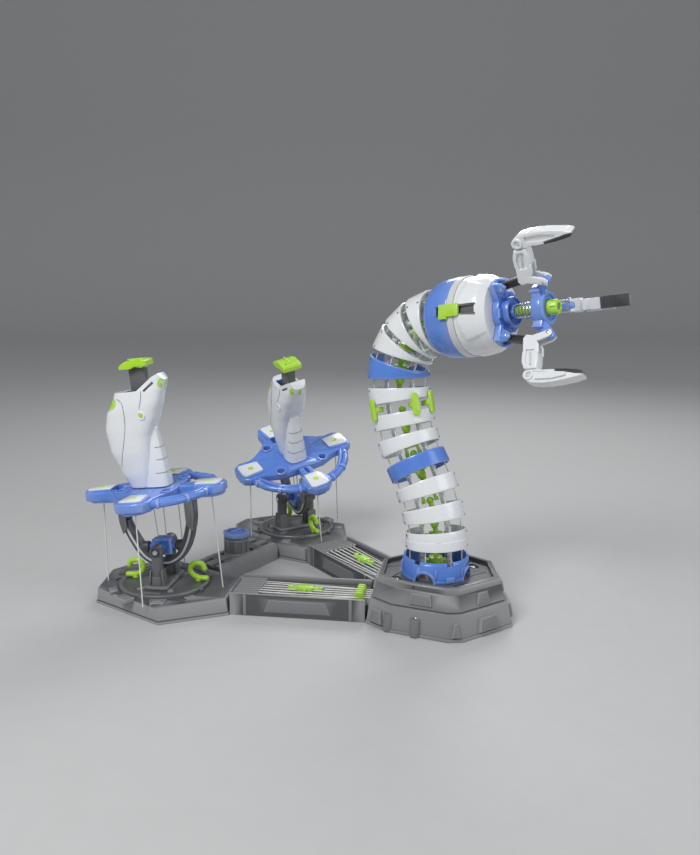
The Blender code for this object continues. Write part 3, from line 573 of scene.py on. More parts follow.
def make_plate(name, side):
    at = station_frame(LEFT_BEARING if name == "left" else REAR_BEARING)
    outline = [(x, side * y) for x, y in PLATE_OUTLINE]
    plate = [slab(scaled(outline, 0.998), 0, 2.4, 0.6), slab(scaled(outline, 0.985), 2, 17, 2.2, 0.975, steps=3)]
    deck = turned([(43.5, 16), (44.6, 16), (45, 16.4), (44.7, 20), (44.1, 20.8), (43.2, 21), (41.6, 21), (40.9, 20.6),
                   (40.5, 19.8), (36, 19.8), (2, 19.8), (2, 16)], 72)
    pads = []
    for b in (-150, -118, -78, -42, 150, 100, 58):
        place = shift(*polar(50.5, b), 0) @ turn_z(b)
        if b in (-118, -78, 100):
            pads.append(slab([(-4.5, -8), (5.5, -6.5), (5.5, 6.5), (-4.5, 8)], 15, 19.2, 0.7, place=place))
            pads.append(slab([(-1, -5), (4, -4), (4, 4), (-1, 5)], 18.8, 20, 0.4, place=place))
        else:
            pads.append(slab([(-3.5, -5), (4, -4.4), (4, 4.4), (-3.5, 5)], 15, 18.6, 0.7, place=place))
    for b in (-100, -20, 30, 80, 175):
        pads.append(rod(2.3, (*polar(45, b), 14), (*polar(45, b), 20.4), soft=0.6))
    holes = [rod(1.1, (*polar(STRING_ROUND, b), 12), (*polar(STRING_ROUND, b), 22), soft=0, sides=14)
             for b in (0, 90 * side, 180, -90 * side)]
    slots = [capsule((-3, 0), (3, 0), 1.1, 12, 24, 0, place=shift(*polar(r, b), 0) @ turn_z(b + 90))
             for r, b in ((33, -60), (33, -125), (33, 60), (33, 125), (57, -55), (56, 128), (52, 175))]
    show(name + "_plate_shell", "base", "grey", plate + [deck, *pads], at, cuts=holes + slots,
         replaces=(name + "_plate",))
    clip = slab([(-5, -3), (4, -3.4), (6, 0), (4, 3), (-5, 2)], 16.6, 20.2, 0.7,
                place=shift(-52, 20 * side, 0) @ turn_z(35 * side))
    show(name + "_plate_clip", "base", "dark", [clip], at)
    recessed = [box((1.2, 18, 3), (*polar(37, b), 20.2), turn_z(b), soft=0.4) for b in (-90, 90)]
    show(name + "_deck_ribs", "base", "slate", recessed, at)


def make_post(name):
    at = station_frame(LEFT_BEARING if name == "left" else REAR_BEARING)
    low = 20.1
    foot = [slab([(-12, -24), (-9, -27), (9, -27), (12, -24), (12, 24), (9, 27), (-9, 27), (-12, 24)], low,
                 low + 3.4, 1.0)]
    cuts = []
    for side in (-1, 1):
        y = side * 18.6
        foot.append(rod(7.2, (0, y, low + 2), (0, y, 33), 6.2, soft=1.0))
        foot.append(rod(6.0, (0, y, 30), (0, y, 55), 5.4, soft=0.4))
        foot.append(rod(6.6, (0, y - 5, PIVOT_HEIGHT), (0, y + 5, PIVOT_HEIGHT), soft=1.4, sides=36))
        foot += [box((1.6, 11, 16), (6.2 * k, y, 31), turn_y(-5 * k), soft=0.5) for k in (-1, 1)]
    show(name + "_post_columns", "base", "slate", foot, at, replaces=(name + "_post",))
    caps = []
    heads = []
    slots = []
    for side in (-1, 1):
        y = side * 23.6
        turn = shift(0, y, PIVOT_HEIGHT) @ turn_x(-90 * side)
        caps.append(rod(4.7, (0, 0, -1), (0, 0, 0.7), soft=0.5, place=turn))
        heads.append(rod(2.9, (0, 0, 0.2), (0, 0, 1.9), 2.3, soft=0.4, sides=24, place=turn))
        slots += cross_slot(2.9, (0, 0, 1.2), place=turn)
    show(name + "_post_caps", "base", "dark", caps, at)
    show(name + "_post_screws", "base", "steel", heads, at, cuts=slots)


def make_hooks(name):
    at = station_frame(LEFT_BEARING if name == "left" else REAR_BEARING)
    low = 22.7
    for letter, side in (("a", -1), ("b", 1)):
        route = [(41, low), (32, low + 0.6), (26, low + 5), (25, low + 11), (30, low + 15.5), (37, low + 14.5),
                 (39.5, low + 10)]
        path = smooth_path([(side * x, 6, z) for x, z in route], 8)
        bar = sweep(path, 2.75, 14, flat=1.0)
        plug = [ball(2.75, path[0]), ball(2.75, path[-1]), rod(3.4, (side * 33, 6, 20), (side * 33, 6, low + 1), 2.6)]
        show("%s_hook_%s_bar" % (name, letter), "base", "green", [bar, *plug], at,
             replaces=("%s_hook_%s" % (name, letter),))


# Beams

def make_beam(name, bearing):
    at = station_frame(bearing)
    colour = "grey" if name == "front" else "slate"
    start, end = 74.3, BEAM_SPAN - 64
    section = [(-28, 0), (28, 0), (28, 22), (25.2, 22), (24, 15), (-24, 15), (-25.2, 22), (-28, 22)]
    shapes = [slab(section, start, end, 0.8, place=ALONG)]
    for side in (-1, 1):
        panel = [(start + 34, 5), (start + 98, 5), (start + 93, 17), (start + 39, 17)]
        shapes.append(slab(panel, -1, 0.55, 0.5, place=shift(0, side * 28, 0) @ UPRIGHT))
        shapes.append(box((3, 2, 21), (end - 14, side * 27.6, 11), soft=0.5))
        shapes.append(box((3, 2, 21), (start + 15, side * 27.6, 11), soft=0.5))
        shapes.append(box((end - start - 2, 1.6, 1.4), ((start + end) / 2, side * 23.4, 15.6), soft=0.4))
    grooves = [box((2.2, 47.6, 1.4), (start + x, 0, 15.2), soft=0) for x in (40, 62, 96, 116)]
    show(name + "_beam_shell", "base", colour, shapes, at, cuts=grooves, replaces=(name + "_beam",))
    cover = []
    for y in range(-20, 21, 5):
        cover.append(slab([(start + 1, -1.7), (start + 25, -1.7), (start + 26.5, 0), (start + 25, 1.7),
                           (start + 1, 1.7)], 15, 20.6, 0.6, place=shift(0, y, 0)))
    cover.append(slab([(start + 1, -23), (start + 24, -23), (start + 24, 23), (start + 1, 23)], 15, 18.2, 0.8))
    show(name + "_beam_cover", "base", "grey", cover, at)
    strings = []
    for y in (-12, -6, 0, 6, 12):
        strings.append(sweep([(start + 23, y, 18.6), (start + 60, y * 1.0, 18.2), (end - 12, y * 0.9, 18.0),
                              (end + 6, y * 0.85, 18.4)], 0.62, 8))
    for y in (-18, 18):
        strings.append(sweep([(start + 23, y, 18.2), (end - 30, y * 0.8, 17.8), (end - 4, y * 0.62, 18)], 0.5, 8))
    show(name + "_beam_strings", "base", "string", strings, at)
    comb_x = end - 8
    comb = [slab([(comb_x - 4.5, -12), (comb_x + 3, -12), (comb_x + 4.5, -10.5), (comb_x + 4.5, 10.5),
                  (comb_x + 3, 12), (comb_x - 4.5, 12)], 15.3, 18, 0.6)]
    comb += [slab([(-4.3, 0), (4.3, 0), (4.3, 5), (2.8, 6.8), (-2.8, 6.8), (-4.3, 5)], -1.3, 1.3, 0.45,
                  place=shift(comb_x, y, 16.6) @ UPRIGHT) for y in (-10.7, -5.3, 0, 5.3, 10.7)]
    show(name + "_comb_teeth", "base", "green", comb, at, replaces=(name + "_comb",))
    x = 143
    body = [slab([(-8, -3.6), (-6.4, -5), (6.4, -5), (8, -3.6), (8, 3.6), (6.4, 5), (-6.4, 5), (-8, 3.6)], 16.4, 21.6,
                 0.8, place=shift(x, 3, 0))]
    body += [capsule((-15, 0), (15, 0), 2.1, 16.6, 20.4, 0.7, place=shift(x, 3, 0)),
             capsule((0, -5.5), (0, 5.5), 1.9, 16.6, 20.4, 0.6, place=shift(x, 3, 0))]
    body += [box((1, 8.6, 5.6), (x + k, 3, 19.2), soft=0.35) for k in (-4.2, -2.1, 0, 2.1, 4.2)]
    body += [rod(2.7, (x + k, 3, 16.8), (x + k, 3, 21.4), soft=0.5, sides=18) for k in (-15, 15)]
    show(name + "_coupler_block", name + "_coupler", "green", body, at, replaces=(name + "_coupler",))


def make_link():
    left = station_frame(LEFT_BEARING).translation
    rear = station_frame(REAR_BEARING).translation
    along = rear - left
    at = shift(*left) @ turn_z(atan2(along.y, along.x) * 180 / pi)
    start, end = 62.3, along.length - 62.3
    middle = along.length / 2
    section = [(-20, 0), (20, 0), (20, 13), (16, 19), (11.5, 19), (10, 16.6), (5.5, 16.6), (4, 19), (-4, 19),
               (-5.5, 16.6), (-10, 16.6), (-11.5, 19), (-16, 19), (-20, 13)]
    rails = [slab(section, start, end, 0.6, place=ALONG)]
    for k in (-1, 1):
        for d in (19.5, 24.5, 29.5):
            rails.append(slab([(-20.2, 0.4), (20.2, 0.4), (20.2, 13.6), (16, 19.6), (-16, 19.6), (-20.2, 13.6)],
                              -1.1, 1.1, 0.5, place=shift(middle + k * d, 0, 0) @ ALONG))
    barrel = [slab(arc(12.6, 0, 348.75, 31), 12, 37, 0.8, place=shift(middle, 0, 0)),
              slab(arc(15.6, 22.5, 337.5, 7), 4, 20.5, 1.2, place=shift(middle, 0, 0))]
    for k in range(10):
        barrel.append(box((2.2, 2.6, 17), (middle + polar(12.6, 36 * k)[0], polar(12.6, 36 * k)[1], 27.5),
                          turn_z(36 * k), soft=0.6))
    barrel.append(turned([(12.4, 33), (13.4, 33.2), (13.4, 35), (12.4, 35.3)], 48, place=shift(middle, 0, 0)))
    show("link_beam_shell", "base", "grey", rails + barrel, at, replaces=("link_beam",))
    knob = [slab(arc(15.1, 22.5, 337.5, 7), 37.3, 42.8, 1.2, place=shift(middle, 0, 0))]
    cut = [rod(9.2, (middle, 0, 41.6), (middle, 0, 50), soft=0, sides=40)]
    show("lock_knob_cap", "lock_knob", "blue", knob, at, cuts=cut, replaces=("lock_knob",))
    dial = [slab([(middle + x, y) for x, y in arc(7.6, 0, 352.5, 47)], 41.4, 42.5, 0.35),
            slab([(middle - 6.6, -1.7), (middle + 6.6, -1.7), (middle + 6.6, 1.7), (middle - 6.6, 1.7)], 42.2, 44.4, 0.5)]
    show("lock_knob_dial", "lock_knob", "blue", dial, at)


make_tower()
make_plate("left", 1)
make_plate("rear", -1)
for station in ("left", "rear"):
    make_post(station)
    make_hooks(station)
make_beam("front", LEFT_BEARING)
make_beam("rear", REAR_BEARING)
make_link()

# Arm

STRING_BEARINGS = (-4, -60, -118, 184, 122, 62)
STRING_CIRCLE = 24.6


def spine(index, body, at, low, high, ball_at, collar=False):
    """The green backbone between two rings, with its ball knuckle up at the hinge."""
    green = [slab([(-6.5, -4.5), (-4.5, -6.5), (4.5, -6.5), (6.5, -4.5), (6.5, 4.5), (4.5, 6.5), (-4.5, 6.5),
                   (-6.5, 4.5)], low, high, 0.7)]
    green.append(sweep([(0, 0, high - 1), ball_at], 2.3, 14))
    green.append(ball(3.5, ball_at))
    middle = (low + high) / 2
    green += [box((19, 6.0, (high - low) * 0.7), (0, 0, middle), soft=0.6),
              box((6.0, 17, (high - low) * 0.6), (0, 0, middle), soft=0.6)]
    return show("spine_%02d" % index, body, "green", green, at)


def ears(index, body, at, block_low):
    """Two green ears that hold the ball of the part below."""
    hinge = at.inverted() @ arm_hinges[index]
    low = hinge.z - 1.5
    shapes = []
    for side in (-1, 1):
        outline = [(-4, block_low + 1), (4, block_low + 1), (4, low + 3), (2.4, low), (-2.4, low), (-4, low + 3)]
        turn = UPRIGHT if index % 2 else turn_z(90) @ UPRIGHT
        offset = Vector((0, side * 5.8, 0)) if index % 2 else Vector((side * 5.8, 0, 0))
        shapes.append(slab(outline, -1.5, 1.5, 0.5, place=shift(hinge.x + offset.x, hinge.y + offset.y, 0) @ turn))
        pin = Vector((0, side, 0)) if index % 2 else Vector((side, 0, 0))
        centre = Vector((hinge.x, hinge.y, hinge.z + 0.4))
        shapes.append(rod(2.1, centre + pin * 6.9, centre + pin * 8.2, soft=0.4, sides=18))
    show("ears_%02d" % index, body, "green", shapes, at)


def lean_of(frame_here, other):
    axis = frame_here.to_3x3().inverted() @ other.to_3x3().col[2]
    flat = Vector((axis.x, axis.y))
    return flat, asin(min(1, flat.length))


def make_ring(index):
    name, colour, height, _, _, _, share = ARM_RINGS[index]
    body = BODIES[index]
    at = ring_frames[index]
    down_share = ARM_RINGS[index - 1][6] if index else share
    above, above_angle = lean_of(at, ring_frames[index + 1])
    below, below_angle = lean_of(at, ring_frames[index - 1] if index else Matrix())
    if index == RIGID_PAIR:
        above_angle = 0
    if index == RIGID_PAIR + 1:
        below_angle = 0
    up = above.normalized() if above.length else above
    down = below.normalized() if below.length else below

    def ends(x, y):
        flat = Vector((x, y))
        return (-height / 2 - down_share * tan(below_angle / 2) * flat.dot(down),
                height / 2 - share * tan(above_angle / 2) * flat.dot(up))

    step = 0.9 if index == 0 else 0.0
    outer, inner = RING_RADIUS, RING_RADIUS - RING_WALL
    profile = [(outer - 0.9, 0, 0.0), (outer - 0.25, 0, 0.25), (outer, 0, 0.9), (outer + 0.0, 0, 2.4)]
    if index == 0:
        profile += [(outer, 0.5, -0.3), (outer - step, 0.5, 0.2), (outer - step, 1, -0.9), (outer - step - 0.3, 1, -0.2)]
    else:
        profile += [(outer + 0.12, 0.5, 0), (outer, 1, -2.4), (outer, 1, -0.9), (outer - 0.25, 1, -0.25)]
    profile += [(outer - 0.9 - step, 1, 0.0), (inner + 0.3, 1, 0.0), (inner, 1, -0.4), (inner, 0.5, 0),
                (inner, 0, 0.4), (inner + 0.3, 0, 0.0)]
    rows = []
    start, stop, count = 90 + RING_OPENING / 2, 450 - RING_OPENING / 2, 72
    for i in range(count + 1):
        a = start + (stop - start) * i / count
        low, high = ends(*polar(outer, a))
        pull = 0.5 if i in (0, count) else 0.0
        row = []
        for r, share_up, offset in profile:
            x, y = polar(r - pull * (r - (outer + inner) / 2) * 0.5, a)
            row.append((x, y, low + (high - low) * share_up + offset))
        rows.append(row)
    wall = loft(rows)
    show(name + "_shell", body, colour, [wall], at, replaces=(name,), crease=40)

    frame_colour = "blue" if colour == "blue" else "pale"
    half = 5.5 if height > 13 else 4.6
    spokes = [box((2 * RING_RADIUS - 3, 5.0, 2.2), soft=0.5), box((5.0, RING_RADIUS - 1, 2.2), (0, -RING_RADIUS / 2, 0),
                                                                  soft=0.5)]
    spokes += [slab(arc(10.5, 0, 345, 23), -1.4, 1.4, 0.5)]
    for b in STRING_BEARINGS:
        x, y = polar(STRING_CIRCLE, b)
        spokes.append(rod(2.0, (x, y, -2), (x, y, 2), soft=0.4, sides=16))
        spokes.append(box((17, 2.0, 1.8), (x * 0.62, y * 0.62, 0), turn_z(b), soft=0.4))
    for side in (-1, 1):
        spokes.append(rod(3.3, (side * 12.5, -3, -half), (side * 12.5, -3, half), soft=0.6, sides=20))
    show(name + "_web", body, frame_colour, spokes, at)

    top = at.inverted() @ arm_hinges[index + 1]
    if index == RIGID_PAIR:
        top = Vector((0, 0, half + 4))
    spine(index + 1, body, at, -half, half, top)
    if index != RIGID_PAIR + 1:
        ears(index, body, at, -half)
    # Painted shade: small dark boxes on the outer wall, at its left and right sides near the top and bottom edges,
    # stand in for the shade inside the notches there.
    notch_shades = []
    for b in (196, -16):
        low, high = ends(*polar(outer, b))
        for z in (low + 2.2, high - 2.4):
            x, y = polar(outer + 0.02, b)
            notch_shades.append(box((0.5, 1.5, 2.2), (x, y, z), turn_z(b), soft=0.15))
    show(name + "_notch_shades", body, "dark", notch_shades, at)


def make_gap_strings(index):
    """The strings and two ribbed guides between ring number index and the part below it."""
    upper = ring_frames[index]
    lower = ring_frames[index - 1] if index else shift(*TOWER_AT, 52)
    body_low = BODIES[index - 1] if index else "base"
    body_high = BODIES[index]
    strings, guides = [], []
    if index == len(ARM_RINGS):
        upper = ring_frames[index] @ shift(0, 0, 4)
    for b in STRING_BEARINGS:
        local = Vector((*polar(STRING_CIRCLE, b), 0))
        a, c = lower @ local, upper @ local
        strings.append(sweep([a + (c - a) * t / 12 for t in range(13)], 0.55, 8))
    for side in (-1, 1):
        local = Vector((side * 12.5, -3, 0))
        a, c = lower @ local, upper @ local
        count = 24
        radii = [2.5 if k % 4 < 2 else 1.9 for k in range(count + 1)]
        guides.append(sweep([a + (c - a) * t / count for t in range(count + 1)], radii, 14))
    for label, colour, shapes in (("strings", "string", strings), ("guides", "white", guides)):
        made = show("%s_%02d" % (label, index), body_low, colour, shapes, ride=body_low == body_high)
        if body_low != body_high:
            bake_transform(made)


ON_END = Matrix(((0, 0, 1, 0), (1, 0, 0, 0), (0, 1, 0, 0), (0, 0, 0, 1)))


def make_clips():
    lower, upper = ring_frames[RIGID_PAIR], ring_frames[RIGID_PAIR + 1]
    middle = lower.copy()
    middle.translation = (lower.translation + upper.translation) / 2
    for number, bearing in enumerate((-152, -68, -28), 1):
        r = RING_RADIUS + 0.6
        bar = capsule((0, -7.2), (0, 7.2), 3.8, r, r + 2.8, 1.2, place=turn_z(bearing) @ ON_END)
        shapes = [bar, box((9, 6.4, 5.0), (r - 4, 0, 0), soft=0.8, place=turn_z(bearing)),
                  box((2.4, 7, 4), (r - 2.9, 0, 0), soft=0.6, place=turn_z(bearing))]
        show("ring_clip_%d_bar" % number, "segment_06", "green", shapes, middle, replaces=("ring_clip_%d" % number,))


make_collar()
for ring in range(len(ARM_RINGS)):
    make_ring(ring)
for gap in range(len(ARM_RINGS) + 1):
    make_gap_strings(gap)
make_clips()

# Head and claw, measured along the head's axis

HEAD_RADIUS = 36.5
ON_SIDE = Matrix(((0, 0, 1, 0), (0, 1, 0, 0), (1, 0, 0, 0), (0, 0, 0, 1)))
HEAD_SEAM = 28
HEAD_FRONT = 64
HUB_PIVOT = (26, 75)
ROOT_PIVOT = (30, 96)
SPIDER_PIVOT = (26.5, 115)
SPIDER_LOW = 99
SPIDER_TOP = 110


def soft_step(low, high, value):
    t = min(1, max(0, (value - low) / (high - low)))
    return t * t * (3 - 2 * t)


def petal(r, bearing, z):
    """Raised panels on the dome: three wide ones, with a sunk valley between each pair."""
    if r < 30:
        return r
    a = (bearing - TAB_BEARING + 60) % 120 - 60
    edge = 52 - 0.45 * max(0, z - 34)
    inside = soft_step(edge + 2.2, edge - 2.2, abs(a)) * soft_step(35.5 + abs(a) * 0.16, 37 + abs(a) * 0.16, z)
    return r + 1.35 * inside * soft_step(64, 58, z) - 1.0


def make_head():
    at = head_frame
    body = "head"

    def slot():
        return [box((12, 7, 38), (HEAD_RADIUS, 0, 37), soft=0, place=turn_z(TAB_BEARING))]

    band = turned([(29.4, 0), (30.4, 0.2), (31.2, 0.9), (33.4, 4.2), (35.3, 9), (36.2, 17), (36.45, 27.2),
                   (36.1, 27.9), (34.2, 27.9), (33, 10), (28.2, 0.4)], 96)
    show("head_band_shell", body, "blue", [band], at, cuts=slot(), replaces=("head_band",), crease=30)
    back = [rod(31, (0, 0, 3), (0, 0, 6.5), soft=0.6, sides=64)]
    back += [box((24, 2, 3), (*polar(16, b), 2.6), turn_z(b), soft=0.6) for b in range(0, 360, 45)]
    back += [rod(2.4, (*polar(24, b), 1.4), (*polar(24, b), 4), soft=0.5) for b in range(22, 382, 60)]
    show("head_bulkhead", body, "pale", back, at)
    ears(len(ARM_RINGS), body, ring_frames[-1], 3)
    collar = turned([(36.0, 28.3), (36.5, 28.6), (36.55, 34.4), (36.2, 34.9), (35.2, 34.9), (34.2, 28.3)], 96)
    show("head_collar", body, "pale", [collar], at, cuts=slot(), crease=30)
    profile = [(34.0, 34.6), (35.4, 34.8), (36.4, 35.2)]
    profile += [(36.4 - 0.55 * ((z - 36) / 10) ** 2 - (0.0 if z < 55 else (z - 55) ** 2 * 0.055), z)
                for z in range(36, 62, 2)]
    profile += [(31.4, 62.4), (29.8, 63.4), (26.5, 63.9), (23, 64), (11, 64), (10.6, 63.6), (10.6, 61.8), (22, 61.5),
                (24.5, 60), (31, 53), (33.4, 43)]
    dome = turned(profile, 144, shape=petal)
    seam = [box((10, 0.6, 20), (40.1, 0, 56), soft=0, place=turn_z(TAB_BEARING + k)) for k in (0, 180)]
    show("head_dome_shell", body, "white", [dome], at, cuts=slot() + seam, replaces=("head_dome",), crease=30)
    tray = [box((1.2, 9, 40), (32.6, 0, 37), soft=0.3), box((4, 1, 40), (34.4, 4.1, 37), soft=0.2),
            box((4, 1, 40), (34.4, -4.1, 37), soft=0.2)]
    show("head_slot_tray", body, "dark", tray, at @ turn_z(TAB_BEARING))
    tab = [slab([(22, -5.6), (41, -5.6), (42, -4.6), (42, 4.6), (41, 5.6), (30.5, 5.6), (30.5, 7.4), (22, 7.4)], 35.8,
                39.0, 0.8, place=ON_SIDE),
           box((5, 4.4, 16), (34.4, 0, 32), soft=0.6)]
    tab += [box((0.9, 8.4, 1.0), (39.1, -0.2, z), soft=0.3) for z in (34.5, 36.7, 38.9)]
    show("head_tab_lever", "head_tab", "green", tab, at @ turn_z(TAB_BEARING), replaces=("head_tab",))


def lobed(radius, reach, width, low, high, soft=1.0):
    """A disc with three rounded lobes."""
    shapes = [slab(arc(radius, 0, 352.5, 47), low, high, soft)]
    for b in (0, 120, 240):
        shapes.append(slab([(0, -width * 1.5), (reach * 0.62, -width), (reach, -width * 0.86), (reach, width * 0.86),
                            (reach * 0.62, width), (0, width * 1.5)], low, high, soft, place=turn_z(b)))
    return shapes


def cheek_pair(outline, inner, outer, bearing, soft=0.5):
    return [slab(outline, *sorted((k * inner, k * outer)), soft, place=turn_z(bearing) @ UPRIGHT) for k in (-1, 1)]


def make_hub():
    at = head_frame
    shapes = lobed(18.5, 30.5, 7.6, 64.4, 70.2, 0.9)
    shapes.append(turned([(13.4, 68), (13.4, 75.6), (12.9, 76.4), (11.9, 76.5), (11.2, 74.4), (6.2, 73.4), (6.2, 68)], 64))
    shapes.append(turned([(6.4, 72), (6.4, 77.6), (5.9, 78), (4.8, 78), (4.7, 72)], 40))
    wing = [(12, 67), (30, 65), (31.5, 70), (HUB_PIVOT[0] + 4.2, HUB_PIVOT[1] + 1), (HUB_PIVOT[0] + 1, HUB_PIVOT[1] + 4.2),
            (HUB_PIVOT[0] - 3, HUB_PIVOT[1] + 3.4), (19, 71.5), (12, 70)]
    pins = []
    for b in (0, 120, 240):
        shapes += cheek_pair(wing, 3.0, 6.3, b)
        shapes += [rod(3.4, (HUB_PIVOT[0], k * 5.4, HUB_PIVOT[1]), (HUB_PIVOT[0], k * 7.2, HUB_PIVOT[1]), soft=0.5,
                       place=turn_z(b)) for k in (-1, 1)]
        shapes += [slab([(-3, -5), (4, -4), (4, 4), (-3, 5)], 69.5, 71.6, 0.6, place=turn_z(b + 60) @ shift(14.5, 0, 0))]
        pins.append(rod(1.5, (HUB_PIVOT[0], -7.7, HUB_PIVOT[1]), (HUB_PIVOT[0], 7.7, HUB_PIVOT[1]), soft=0.4, sides=18,
                        place=turn_z(b)))
    cuts = [rod(4.7, (0, 0, 60), (0, 0, 84), soft=0)]
    show("claw_hub_body", "claw_mount", "blue", shapes, at, cuts=cuts, replaces=("claw_hub",))
    show("claw_hub_pins", "claw_mount", "steel", pins, at)


def make_drive():
    at = head_frame
    shaft = [rod(3.9, (0, 0, 46), (0, 0, 99), soft=0.5)]
    shaft += [turned([(3.8, z), (4.35, z + 0.5), (4.35, z + 1.4), (3.8, z + 1.9)], 28) for z in range(79, 97, 3)]
    show("claw_shaft", "claw_drive", "green", shaft, at, replaces=("claw_spindle",))
    shapes = lobed(15.5, 20.5, 5.6, 99, 107.6, 1.0)
    shapes.append(turned([(14.4, 106), (14.4, 109.2), (13.6, 110), (11.4, 110), (10.6, 108.6), (7.2, 108.4),
                          (7.2, 106)], 64))
    pins = []
    for b in (0, 120, 240):
        shapes.append(capsule((15, SPIDER_LOW + 6), SPIDER_PIVOT, 4, -2.5, 2.5, 0.7, place=turn_z(b) @ UPRIGHT))
        shapes += [box((2.2, 11.6, 9.4), (19.6, 0, 103.4), soft=0.7, place=turn_z(b))]
        pins.append(rod(1.5, (SPIDER_PIVOT[0], -6.6, SPIDER_PIVOT[1]), (SPIDER_PIVOT[0], 6.6, SPIDER_PIVOT[1]),
                        soft=0.4, sides=18, place=turn_z(b)))
    show("claw_spider_body", "claw_drive", "blue", shapes, at, replaces=("claw_spider",))
    show("claw_spider_pins", "claw_drive", "steel", pins, at)
    nut = turned([(6.5, 108), (6.5, 116.6), (5.9, 117.6), (4.6, 118), (3.4, 118), (3.1, 117), (3.1, 108)], 40)
    notches = [box((2, 1.6, 6), (*polar(6.6, b), 116), turn_z(b), soft=0) for b in range(0, 360, 60)]
    show("claw_nut", "claw_drive", "green", [nut], at, cuts=notches)
    show("claw_nut_screw", "claw_drive", "steel", [rod(2.9, (0, 0, 109), (0, 0, 117.2), soft=0.5)], at,
         cuts=cross_slot(2.9, (0, 0, 116.5)))
    turns, per = 7, 22
    low, high = 78.2, 98.8
    coil = []
    for i in range(turns * per + 1):
        a = 360 * i / per
        z = low + (high - low) * i / (turns * per)
        coil.append((*polar(5.9, a), z))
    spring = show("claw_spring", "claw_mount", "steel", [sweep(coil, 0.62, 8)], at)
    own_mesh(spring)


def make_finger(letter, bearing):
    at = head_frame @ turn_z(bearing)
    body = "finger_" + letter
    bar = capsule(HUB_PIVOT, ROOT_PIVOT, 3.4, -2.5, 2.5, 0.6, place=UPRIGHT)
    webs = [slab([(HUB_PIVOT[0] - 1.4 + 0.7, 79.5), (HUB_PIVOT[0] + 2.2 + 0.7, 79), (ROOT_PIVOT[0] + 1.0, 91.4),
                  (ROOT_PIVOT[0] - 2.4, 92)], *sorted((k * 1.7, k * 3.2)), 0, place=UPRIGHT) for k in (-1, 1)]
    show("rocker_%s_link" % letter, "rocker_" + letter, "dark", [bar], at, cuts=webs,
                  replaces=("rocker_" + letter,))

    shapes = []
    foot = [(SPIDER_PIVOT[0] - 3.2, SPIDER_PIVOT[1] + 1.8), (SPIDER_PIVOT[0] + 0.5, SPIDER_PIVOT[1] + 3.6),
            (SPIDER_PIVOT[0] + 3.4, SPIDER_PIVOT[1] + 1), (ROOT_PIVOT[0] + 4, 104), (ROOT_PIVOT[0] + 3.6, 95),
            (ROOT_PIVOT[0], 92.4), (ROOT_PIVOT[0] - 3.4, 95), (ROOT_PIVOT[0] - 2.4, 101)]
    rise = [(ROOT_PIVOT[0], 92.5), (42, 94.6), (44, 96), (44, 109.5), (36, 108), (30, 103)]
    for k in (-1, 1):
        shapes.append(slab(foot, *sorted((k * 3.0, k * 5.5)), 0.7, place=UPRIGHT))
        shapes.append(slab(rise, *sorted((k * 3.0, k * 5.5)), 0.7, place=UPRIGHT))
    phalanx = [(38.5, 95.2), (44, 94), (52, 95), (58.6, 98.4), (58.6, 109.4), (52, 109.8), (44, 108.8), (38.5, 105)]
    shapes.append(slab(phalanx, -5.5, 5.5, 1.1, place=UPRIGHT, steps=3))
    channel = [(41, 97.6), (50, 98), (56, 100.6), (56, 106.4), (50, 107), (41, 105)]
    cuts = [slab(channel, *sorted((k * 3.9, k * 7)), 0, place=UPRIGHT) for k in (-1, 1)]
    show("finger_%s_root_shell" % letter, body, "white", shapes, at, cuts=cuts, replaces=("finger_%s_root" % letter,))
    ribs = [slab([(43, 100), (54.5, 102.6), (54.5, 104.2), (43, 102)], *sorted((k * 3.7, k * 4.9)), 0.3, place=UPRIGHT)
            for k in (-1, 1)]
    show("finger_%s_ribs" % letter, body, "pale", ribs, at)

    crown = smooth_path([(59.3, 100.5, 0), (61.5, 98.4, 0), (66, 98.8, 0), (70.6, 105, 0), (72, 114, 0),
                         (71.6, 126, 0), (69.4, 140, 0), (67.4, 149.5, 0), (65.6, 152, 0), (63.9, 150.4, 0),
                         (62.4, 142, 0), (60.8, 128, 0), (60.2, 116, 0), (59.3, 110, 0)], 4)
    outline = [(p.x, p.y) for p in crown]
    tip = [slab(outline, -5, 5, 1.5, place=UPRIGHT, steps=3)]
    hollow = [(64, 112), (69, 111), (69.2, 126), (67, 138), (64.4, 138), (63.2, 124)]
    cuts = [slab(hollow, *sorted((k * 3.4, k * 7)), 0, place=UPRIGHT) for k in (-1, 1)]
    show("finger_%s_tip_shell" % letter, body, "white", tip, at, cuts=cuts, replaces=("finger_%s_tip" % letter,))
    pins = [turned([(4.5, 4.6), (4.5, 5.9), (4.0, 6.4), (2.6, 6.4), (2.3, 5.6), (2.3, 4.6)], 36,
                   place=shift(64.6, 0, 104.4) @ turn_x(90 * k)) for k in (-1, 1)]
    show("finger_%s_elbow" % letter, body, "white", pins, at)
    show("finger_%s_elbow_pin" % letter, body, "pale",
         [rod(2.2, (64.6, -5.9, 104.4), (64.6, 5.9, 104.4), soft=0.4)], at)
    pad_line = [(60.1, 127), (60.9, 137), (61.8, 145), (62.8, 150.4), (64.2, 152), (66.0, 152), (65.6, 146),
                (63.6, 137), (62.4, 127)]
    pad = [slab(pad_line, -5.4, 5.4, 0.5, place=UPRIGHT)]
    pad += [box((1.2, 8.6, 0.9), (60.3 + 0.1 * (z - 128), 0, z), turn_y(8), soft=0.3) for z in (130, 133, 136, 139, 142)]
    show("finger_%s_pad" % letter, body, "rubber", pad, at)


make_head()
make_hub()
make_drive()
for letter, bearing in zip("abc", (0, 120, 240)):
    make_finger(letter, bearing)

# Joysticks, measured from their pivots

def stick_frames(name):
    bearing, (fore, side) = (LEFT_BEARING, LEFT_LEAN) if name == "left" else (REAR_BEARING, REAR_LEAN)
    ground = station_frame(bearing)
    cross = ground @ shift(0, 0, PIVOT_HEIGHT) @ turn_y(fore)
    return ground, cross, cross @ turn_x(side)


